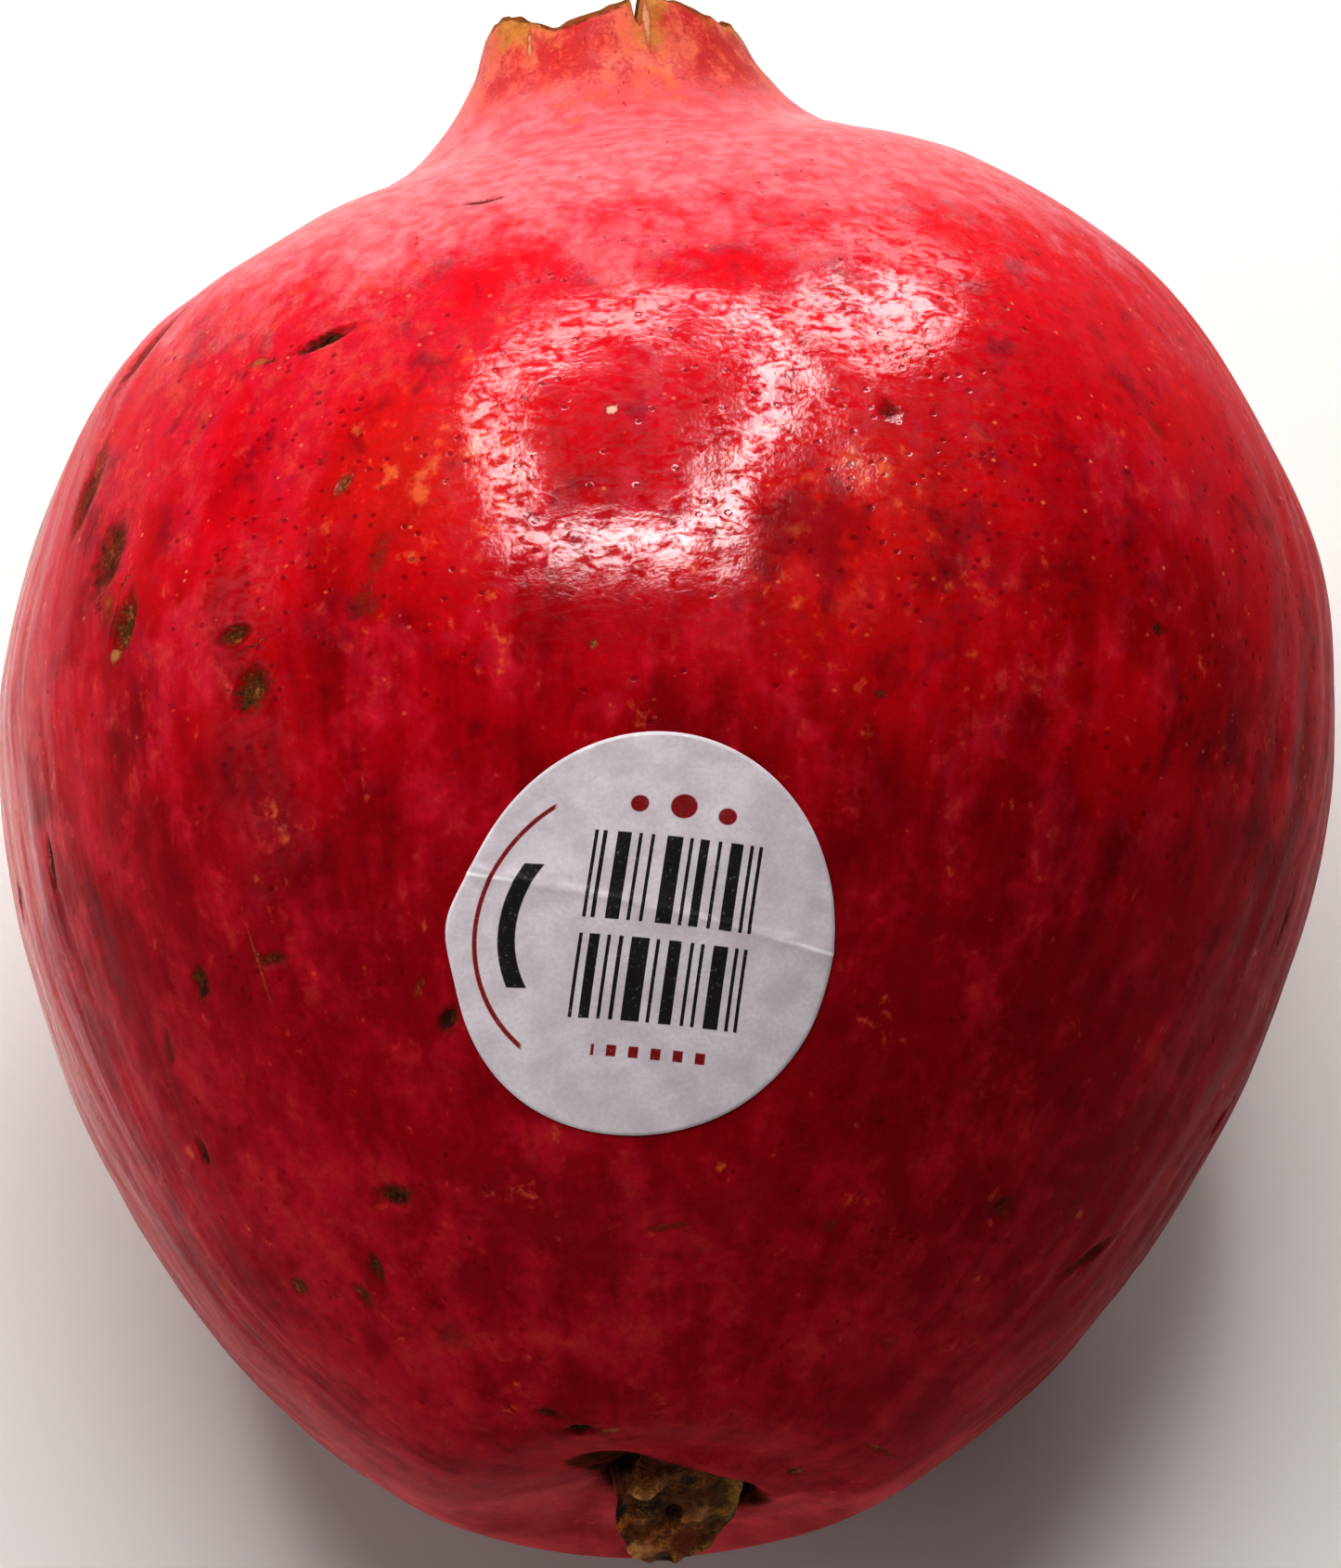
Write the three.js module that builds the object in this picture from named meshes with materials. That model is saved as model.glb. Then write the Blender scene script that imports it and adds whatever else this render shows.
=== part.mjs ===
// A whole pomegranate lying on its side: the fruit with its low trimmed crown, the stem stub in
// the pit at the other end, the dried stamens and style inside the crown, and a small round
// paper sticker. Millimetres; +Z is up from the surface it lies on, the crown points to +Y and
// lifts, the stem end points to -Y. The fruit's own frame runs along its axis: height is
// measured from the widest level towards the crown, across is to the right and up is away from
// the side that it lies on.

import * as THREE from "three";

// Driving dimensions
const lyingAngle = 15; // degrees between the fruit's axis and the surface, crown end raised
const axisBend = 0.00144; // 1/mm, how fast both ends of the axis curve up from the middle
const flatDepth = 0.5; // how far the resting side is pressed flat
const fitGap = 0.3; // clearance between pieces that touch in the real fruit
const stepsAround = 64;
const skinSteps = 46;

// Rings of the skin from the crown's rim to the lip of the stem pit:
// height, radius, offset across, rise at the right per mm of radius
const skinRings = [
  [50.5, 9.0, -3.8, 0.04], // crown rim
  [47.0, 10.4, -3.4, 0.05],
  [44.0, 12.3, -3.3, 0.08],
  [41.3, 15.2, -3.4, 0.12], // crown base
  [39.4, 19.0, -3.6, 0.15],
  [36.6, 26.0, -2.0, 0.11], // shoulder
  [28.7, 36.9, -1.0, 0.06],
  [17.0, 44.0, 0.1, 0.03],
  [4.0, 47.4, 0.4, 0.03], // widest level
  [-8.0, 46.9, 0.1, 0.0],
  [-20.0, 43.9, -0.4, 0.0],
  [-32.0, 38.4, -0.9, 0.0],
  [-43.5, 30.7, -1.1, 0.01],
  [-51.3, 22.2, -1.1, 0.02],
  [-55.7, 15.2, -0.7, 0.03],
  [-55.7, 9.6, -0.2, 0.0], // lip of the stem pit
];
const cupRings = [
  [38.5, 0.0, -3.6, 0.05], // floor of the crown cup
  [38.5, 4.6, -3.6, 0.05],
  [41.0, 6.2, -3.7, 0.05],
  [45.5, 6.9, -3.8, 0.04],
  [49.9, 7.6, -3.8, 0.04],
];
const pitRings = [
  [-55.3, 5.6, 0.8, -0.1],
  [-53.8, 5.0, 1.0, -0.05],
  [-50.0, 4.8, 1.2, 0.0],
  [-50.0, 0.0, 1.2, 0.0], // floor of the stem pit
];

// Soft lengthwise ridges: angle in degrees from the top to the right, height and half width
const ridges = [
  [-37, 0.9, 24],
  [45, 1.0, 26],
  [104, 0.8, 22],
  [152, 0.7, 20],
  [-146, 0.7, 20],
  [-95, 0.7, 22],
];

// Corners of the trimmed crown edge: angle in degrees and lift above the rim ring
const crownCorners = [
  [-180, 0.4],
  [-150, -1.1],
  [-122, 0.6],
  [-92, -0.9],
  [-60, 0.2],
  [-25, -1.2],
  [8, 0.4],
  [11, -0.8],
  [14, 0.9],
  [62, -0.7],
  [96, -0.8],
  [128, -1.2],
  [152, 0.3],
  [180, 0.4],
];

const belly = { middle: -2, halfLength: 34, smallestRadius: 12, fullRadius: 34 }; // where ridges show
const rimTop = { from: 45, to: 50, inside: 6, outside: 7.5 }; // what the corners lift
const stem = { base: -50.0, tip: -58.0, radius: 4.4, offset: 1.2, cutSlope: 0.65, cutAngle: 28, sides: 24 };
const stemTaper = { tip: 0.8, side: 0.92, base: 0.98, edge: 1.2, hidden: 2 }; // shares of the radius, then mm
const crownHeart = { offset: -3.65, rise: 0.05 }; // the axis of the stamens and the style
const stamenRing = { inner: 1.7, outer: 4.3, bottom: 38.5, top: 43.6, sides: 24 };
const style = { radius: 1.1, tipRadius: 0.6, bottom: 38.5, top: 45.0, sides: 12 };
const sticker = { radius: 12.9, tall: 1.17, thickness: 0.25, level: 0.702, angle: -1, rings: 5, sides: 36 };

const radians = THREE.MathUtils.degToRad;
const smoothstep = THREE.MathUtils.smoothstep;

// Rounded swelling around one angle, 1 at its middle
function swelling(angle, middle, halfWidth) {
  const apart = Math.atan2(Math.sin(angle - middle), Math.cos(angle - middle));
  return Math.exp(-((apart / halfWidth) ** 2));
}

function ridgeHeight(angle) {
  const evenOut = 0.85; // mean of all ridges, so that they leave the girth as it is
  const sum = ridges.reduce((total, [middle, height, halfWidth]) =>
    total + height * swelling(angle, radians(middle), radians(halfWidth)), 0);
  return sum - evenOut;
}

// Height of the crown's cut edge, straight between its corners
function crownLift(angle) {
  const degrees = THREE.MathUtils.radToDeg(Math.atan2(Math.sin(angle), Math.cos(angle)));
  const next = crownCorners.findIndex(([corner]) => corner >= degrees - 1e-6);
  if (next <= 0) return crownCorners[0][1];
  const [fromAngle, fromLift] = crownCorners[next - 1];
  const [toAngle, toLift] = crownCorners[next];
  return THREE.MathUtils.mapLinear(degrees, fromAngle, toAngle, fromLift, toLift);
}

// A smooth run through the rings
function ringRun(rings) {
  const section = new THREE.SplineCurve(rings.map(([height, radius]) => new THREE.Vector2(radius, height)));
  const lean = new THREE.SplineCurve(rings.map(([, , offset, rise]) => new THREE.Vector2(offset, rise)));
  return (share) => {
    const { x: radius, y: height } = section.getPoint(share);
    const { x: offset, y: rise } = lean.getPoint(share);
    return { height, radius: Math.max(radius, 0), offset, rise };
  };
}

// The place of one ring's point in the fruit's lying position
function layDown(ring, angle) {
  const { height, radius, offset, rise } = ring;
  const tilt = Math.atan(2 * axisBend * height);
  const across = offset + radius * Math.sin(angle);
  const up = axisBend * height ** 2 + radius * Math.cos(angle) * Math.cos(tilt);
  const along = height + rise * radius * Math.sin(angle) - radius * Math.cos(angle) * Math.sin(tilt);
  const lean = radians(lyingAngle);
  return new THREE.Vector3(
    across,
    along * Math.cos(lean) - up * Math.sin(lean),
    along * Math.sin(lean) + up * Math.cos(lean),
  );
}

// A ring's point with the ridges of the belly and the cut edge of the crown
function skinPoint(ring, angle) {
  const { height, radius } = ring;
  const onBelly = Math.exp(-(((height - belly.middle) / belly.halfLength) ** 4));
  const ridgeShare = onBelly * smoothstep(radius, belly.smallestRadius, belly.fullRadius);
  const nearTop = smoothstep(height, rimTop.from, rimTop.to);
  const rimShare = nearTop * smoothstep(radius, rimTop.inside, rimTop.outside);
  return layDown({
    ...ring,
    radius: radius + ridgeShare * ridgeHeight(angle),
    height: height + rimShare * crownLift(angle),
  }, angle);
}

// A LatheGeometry whose every point is moved to where place(ring, angle) puts it
function turned(rings, sides, place) {
  const outline = rings.map((ring) => new THREE.Vector2(ring.radius, ring.height));
  const geometry = new THREE.LatheGeometry(outline, sides);
  const { position } = geometry.attributes;
  for (let index = 0; index < position.count; index += 1) {
    const ring = rings[index % rings.length];
    const turn = Math.floor(index / rings.length) % sides;
    const point = place(ring, (turn / sides) * 2 * Math.PI);
    position.setXYZ(index, point.x, point.y, point.z);
  }
  return geometry;
}

const toRing = ([height, radius, offset, rise]) => ({ height, radius, offset, rise });
const skin = ringRun(skinRings);

function buildFruit() {
  const skinRun = Array.from({ length: skinSteps + 1 }, (_, step) => skin(step / skinSteps));
  const rings = [...cupRings.map(toRing), ...skinRun, ...pitRings.map(toRing)];
  return turned(rings.reverse(), stepsAround, skinPoint);
}

// The stub's broken end slopes, with its short side up and a little to the right
function buildStem() {
  const { base, tip, radius, offset, cutSlope, cutAngle, sides } = stem;
  const { edge, hidden } = stemTaper;
  const outline = [[tip, 0], [tip, radius * stemTaper.tip], [tip + edge, radius]];
  outline.push([base - hidden, radius * stemTaper.side]);
  outline.push([base - fitGap, radius * stemTaper.base], [base - fitGap, 0]);
  const rings = outline.map(([height, ringRadius]) => toRing([height, ringRadius, offset, 0]));
  return turned(rings, sides, (ring, angle) => {
    const endShare = smoothstep(-ring.height, hidden - base, -tip - 1);
    const slope = cutSlope * ring.radius * Math.cos(angle - radians(cutAngle)) * endShare;
    return layDown({ ...ring, height: ring.height + slope }, angle);
  });
}

function buildStamens() {
  const { inner, outer, bottom, top, sides } = stamenRing;
  const corners = [[bottom + fitGap, inner], [bottom + fitGap, outer], [top, outer * 0.9], [top, inner]];
  corners.push(corners[0]);
  const rings = corners.map(([height, radius]) => ({ height, radius, ...crownHeart }));
  return turned(rings, sides, layDown);
}

function buildStyle() {
  const { radius, tipRadius, bottom, top, sides } = style;
  const corners = [[bottom + fitGap, 0], [bottom + fitGap, radius], [top, tipRadius], [top, 0]];
  const rings = corners.map(([height, ringRadius]) => ({ height, radius: ringRadius, ...crownHeart }));
  return turned(rings, sides, layDown);
}

// A thin disc laid on the skin, a fit gap above it
function buildSticker() {
  const { radius, tall, thickness, level, angle, rings: ringCount, sides } = sticker;
  const nudge = 0.01;
  const middle = radians(angle);
  const spread = skinPoint(skin(level + nudge), middle).distanceTo(skinPoint(skin(level - nudge), middle));
  const levelPerMm = (2 * nudge) / spread;
  const discRadii = Array.from({ length: ringCount + 1 }, (_, ring) => (radius * ring) / ringCount);
  const lower = discRadii.map((ringRadius) => ({ radius: ringRadius, height: 0 }));
  const upper = discRadii.map((ringRadius) => ({ radius: ringRadius, height: thickness })).reverse();
  return turned([...lower, ...upper].reverse(), sides, (ring, turn) => {
    const levelHere = level - ring.radius * tall * Math.cos(turn) * levelPerMm;
    const here = skin(levelHere);
    const beside = middle + (ring.radius * Math.sin(turn)) / here.radius;
    const point = skinPoint(here, beside);
    const alongSkin = skinPoint(skin(levelHere + nudge), beside);
    const aroundSkin = skinPoint(here, beside + nudge);
    const outwards = alongSkin.sub(point).cross(aroundSkin.sub(point)).normalize();
    return point.addScaledVector(outwards, fitGap + ring.height);
  });
}

function material(color, roughness) {
  return new THREE.MeshStandardMaterial({ color, roughness, metalness: 0 });
}

const pieces = [
  ["fruit", buildFruit(), material(0xb5121b, 0.35)],
  ["stem_stub", buildStem(), material(0x6b4a22, 0.85)],
  ["stamens", buildStamens(), material(0x8a5a2b, 0.9)],
  ["style", buildStyle(), material(0x7a5230, 0.85)],
  ["fruit_sticker", buildSticker(), material(0xd9d3da, 0.5)],
];

// The origin goes to the middle of the resting side, and what reaches below it is pressed flat
const extent = new THREE.Box3();
for (const [, geometry] of pieces) {
  geometry.computeBoundingBox();
  extent.union(geometry.boundingBox);
}
const centre = extent.getCenter(new THREE.Vector3());
for (const [, geometry] of pieces) {
  geometry.translate(-centre.x, -centre.y, -extent.min.z - flatDepth);
}
const fruitPositions = pieces[0][1].attributes.position;
for (let index = 0; index < fruitPositions.count; index += 1) {
  fruitPositions.setZ(index, Math.max(fruitPositions.getZ(index), 0));
}

const pomegranate = new THREE.Group();
pomegranate.name = "pomegranate";
for (const [name, geometry, finish] of pieces) {
  geometry.computeVertexNormals();
  const mesh = new THREE.Mesh(geometry, finish);
  mesh.name = name;
  pomegranate.add(mesh);
}

export default pomegranate;
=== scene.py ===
import math
import random
from functools import partial
import bmesh
import bpy
import numpy as np
from mathutils import Matrix, Vector, noise


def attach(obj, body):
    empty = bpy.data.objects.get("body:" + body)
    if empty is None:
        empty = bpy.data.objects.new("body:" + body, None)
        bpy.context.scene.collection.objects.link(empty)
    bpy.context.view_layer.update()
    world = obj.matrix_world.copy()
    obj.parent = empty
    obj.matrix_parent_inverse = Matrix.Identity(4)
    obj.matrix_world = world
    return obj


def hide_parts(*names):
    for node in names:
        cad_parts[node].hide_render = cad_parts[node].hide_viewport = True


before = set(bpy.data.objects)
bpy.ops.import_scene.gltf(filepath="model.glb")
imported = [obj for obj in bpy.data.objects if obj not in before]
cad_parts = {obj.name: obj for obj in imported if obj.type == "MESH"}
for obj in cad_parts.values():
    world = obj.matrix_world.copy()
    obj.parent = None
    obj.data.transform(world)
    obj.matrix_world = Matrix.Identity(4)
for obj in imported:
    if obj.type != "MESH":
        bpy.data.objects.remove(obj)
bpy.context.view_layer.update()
print("frame loaded, nodes:", len(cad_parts))

mm = 0.001


def feed(socket, value):
    if isinstance(value, bpy.types.NodeSocket):
        socket.id_data.links.new(value, socket)
    else:
        socket.default_value = value


def addNode(tree, kind, inputs=None, **settings):
    made = tree.nodes.new("ShaderNode" + kind)
    for name, value in settings.items():
        setattr(made, name, value)
    for name, value in (inputs or {}).items():
        feed(made.inputs[name], value)
    return made


def treeOf(*values):
    # the node tree that the first socket among these belongs to
    return next(value.id_data for value in values if isinstance(value, bpy.types.NodeSocket))


def maths(operation, first, second=0, clamp=False):
    inputs = {0: first, 1: second}
    return addNode(treeOf(first, second), "Math", inputs, operation=operation, use_clamp=clamp).outputs[0]


times, plus, minus, most = (partial(maths, name) for name in ("MULTIPLY", "ADD", "SUBTRACT", "MAXIMUM"))


def fade(value, low, high, start=0, end=1):
    # smooth step from start at low to end at high
    inputs = {"Value": value, "From Min": low, "From Max": high, "To Min": start, "To Max": end}
    return addNode(value.id_data, "MapRange", inputs, interpolation_type="SMOOTHSTEP").outputs["Result"]


def paint(red, green, blue):
    # a colour as it looks on a screen, 0 to 255, turned into the linear value that Blender wants
    shares = [value / 255 for value in (red, green, blue)]
    return (*(share / 12.92 if share <= 0.04045 else ((share + 0.055) / 1.055) ** 2.4
              for share in shares), 1)


def layer(share, below, above, mode="MIX"):
    inputs = {0: share, 6: below, 7: above}
    tree = treeOf(share, below, above)
    return addNode(tree, "Mix", inputs, data_type="RGBA", blend_type=mode).outputs[2]


def noiseFrom(place, scale, detail=2, roughness=0.5, distortion=0):
    inputs = {"Vector": place, "Scale": scale, "Detail": detail, "Roughness": roughness,
              "Distortion": distortion}
    return addNode(place.id_data, "TexNoise", inputs)


def clouds(*settings):
    return noiseFrom(*settings).outputs["Fac"]


def threeClouds(place, *settings):
    # three unlike fields from one noise
    colour = noiseFrom(place, *settings).outputs["Color"]
    return addNode(place.id_data, "SeparateColor", {0: colour}).outputs[:3]


def weighted(*pairs, shift=0):
    # sum of (socket, weight) pairs, then moved by the shift
    total = None
    for value, weight in pairs:
        part = times(value, weight)
        total = part if total is None else plus(total, part)
    return plus(total, shift) if shift else total


def stretched(place, x, y, z, shift=0):
    inputs = {"Vector": place, "Scale": (x, y, z), "Location": (shift, shift, shift)}
    return addNode(place.id_data, "Mapping", inputs).outputs["Vector"]


def split(vector):
    return addNode(vector.id_data, "SeparateXYZ", {"Vector": vector}).outputs[:3]


def attribute(tree, name):
    return addNode(tree, "Attribute", attribute_name=name).outputs["Vector"]


def emptyTree(owner):
    owner.use_nodes = True
    owner.node_tree.nodes.clear()
    return owner.node_tree


def newMaterial(name, fixed):
    # fixed values go straight on the shader's own sockets
    material = bpy.data.materials.new(name)
    tree = emptyTree(material)
    shader = addNode(tree, "BsdfPrincipled", fixed)
    addNode(tree, "OutputMaterial", {"Surface": shader.outputs["BSDF"]})
    return material, tree, shader


def addRelief(shader, height, *sockets):
    # height in mm, on the shader's normal and on any further sockets that are named
    bump = addNode(shader.id_data, "Bump", {"Height": height, "Distance": mm})
    for name in ("Normal", *sockets):
        feed(shader.inputs[name], bump.outputs["Normal"])


def addObject(name, data):
    made = bpy.data.objects.new(name, data)
    bpy.context.scene.collection.objects.link(made)
    return made


def meshFrom(name, bm):
    mesh = bpy.data.meshes.new(name)
    bm.to_mesh(mesh)
    bm.free()
    return mesh


studio = {
    "cameraDistance": 700,  # mm from the middle of the fruit
    "cameraElevation": 61,  # degrees
    "lens": 226.4,
    "aim": (0.05, -0.006, 44.66),  # mm
    "worldLight": 0.14,
    "floorColour": (222, 221, 218),
}

# Degrees above the floor, degrees to the right of where the crown points (180 is the camera's
# side), mm away, size in mm, radiance and roll in degrees. A hollow lamp has a dark middle: its
# shares across and up, and how far it sits off the lamp's middle.
lamps = {
    "frameLight": {"up": 66.5, "aside": -15, "away": 600, "width": 465, "height": 690,
                   "radiance": 7.9, "roll": -10, "hollow": (0.72, 0.62, -0.06)},
    "rightGlint": {"up": 34, "aside": 25, "away": 600, "width": 150, "height": 240,
                   "radiance": 4.9},
    "backLight": {"up": 9, "aside": -6, "away": 900, "width": 1200, "height": 300,
                  "radiance": 1.9},
    "frontFill": {"up": 6, "aside": 188, "away": 900, "width": 1000, "height": 160,
                  "radiance": 1.4},
    "leftFill": {"up": 16, "aside": -92, "away": 800, "width": 600, "height": 260,
                 "radiance": 3.5},
}

fruitMiddle = Vector((-0.303, 3.774, 46.755))  # mm, where the fruit's own origin lies


def makeCamera():
    elevation = math.radians(studio["cameraElevation"])
    back = Vector((0, -math.cos(elevation), math.sin(elevation)))
    camera = addObject("camera", bpy.data.cameras.new("camera"))
    camera.data.sensor_width = 36
    camera.data.lens = studio["lens"]
    camera.data.clip_start = 0.05
    camera.data.clip_end = 20
    camera.location = (fruitMiddle + back * studio["cameraDistance"]) * mm
    look = Vector(studio["aim"]) * mm - camera.location
    camera.rotation_euler = look.to_track_quat("-Z", "Y").to_euler()
    bpy.context.scene.camera = camera


def hollowOut(light, hollow):
    # a rounded frame: its middle and its corners give next to nothing
    tree = emptyTree(light)
    face = split(addNode(tree, "NewGeometry").outputs["Parametric"])

    def inside(width, height, shift=0):
        shares = [maths("DIVIDE", minus(side, middle), size / 2)
                  for side, middle, size in zip(face, (0.5, 0.5 + shift), (width, height))]
        sides = [maths("POWER", maths("ABSOLUTE", share), 3.2) for share in shares]
        return fade(plus(*sides), 0.88, 1.12, 1, 0)

    strength = minus(inside(0.97, 0.97), times(inside(*hollow), 0.995))
    glow = addNode(tree, "Emission", {"Strength": strength})
    addNode(tree, "OutputLight", {"Surface": glow.outputs[0]})


def makeLamp(name, up, aside, away, width, height, radiance, roll=0, hollow=None):
    light = bpy.data.lights.new(name, "AREA")
    light.shape = "RECTANGLE"
    light.size = width * mm
    light.size_y = height * mm
    light.energy = radiance * math.pi * light.size * light.size_y
    if hollow:
        hollowOut(light, hollow)
    up = math.radians(up)
    aside = math.radians(aside)
    towards = Vector((math.sin(aside) * math.cos(up), math.cos(aside) * math.cos(up), math.sin(up)))
    lamp = addObject(name, light)
    lamp.location = (fruitMiddle + towards * away) * mm
    facing = (-towards).to_track_quat("-Z", "Y").to_matrix()
    lamp.rotation_euler = (facing @ Matrix.Rotation(math.radians(roll), 3, "Z")).to_euler()
    lamp.visible_camera = False


def makeWorld():
    world = bpy.data.worlds.new("studio")
    tree = emptyTree(world)
    light = addNode(tree, "Background", {"Color": (1, 1, 1, 1), "Strength": studio["worldLight"]})
    addNode(tree, "OutputWorld", {"Surface": light.outputs[0]})
    bpy.context.scene.world = world


def makeFloor():
    bm = bmesh.new()
    bmesh.ops.create_grid(bm, x_segments=8, y_segments=8, size=3)
    floor = addObject("studioFloor", meshFrom("studioFloor", bm))
    material, tree, shader = newMaterial("floorPaint", {"Roughness": 0.8, "Specular IOR Level": 0.2})
    cloud = clouds(addNode(tree, "TexCoord").outputs["Object"], 3, 3)
    pale = paint(*studio["floorColour"])
    feed(shader.inputs["Base Color"], layer(cloud, pale, (*(0.97 * part for part in pale[:3]), 1)))
    floor.data.materials.append(material)


makeCamera()
for lampName, settings in lamps.items():
    makeLamp(lampName, **settings)
makeWorld()
makeFloor()
bpy.context.scene.view_settings.view_transform = "Standard"
bpy.context.scene.view_settings.look = "High Contrast"
print("camera, lights and floor ready")


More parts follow.
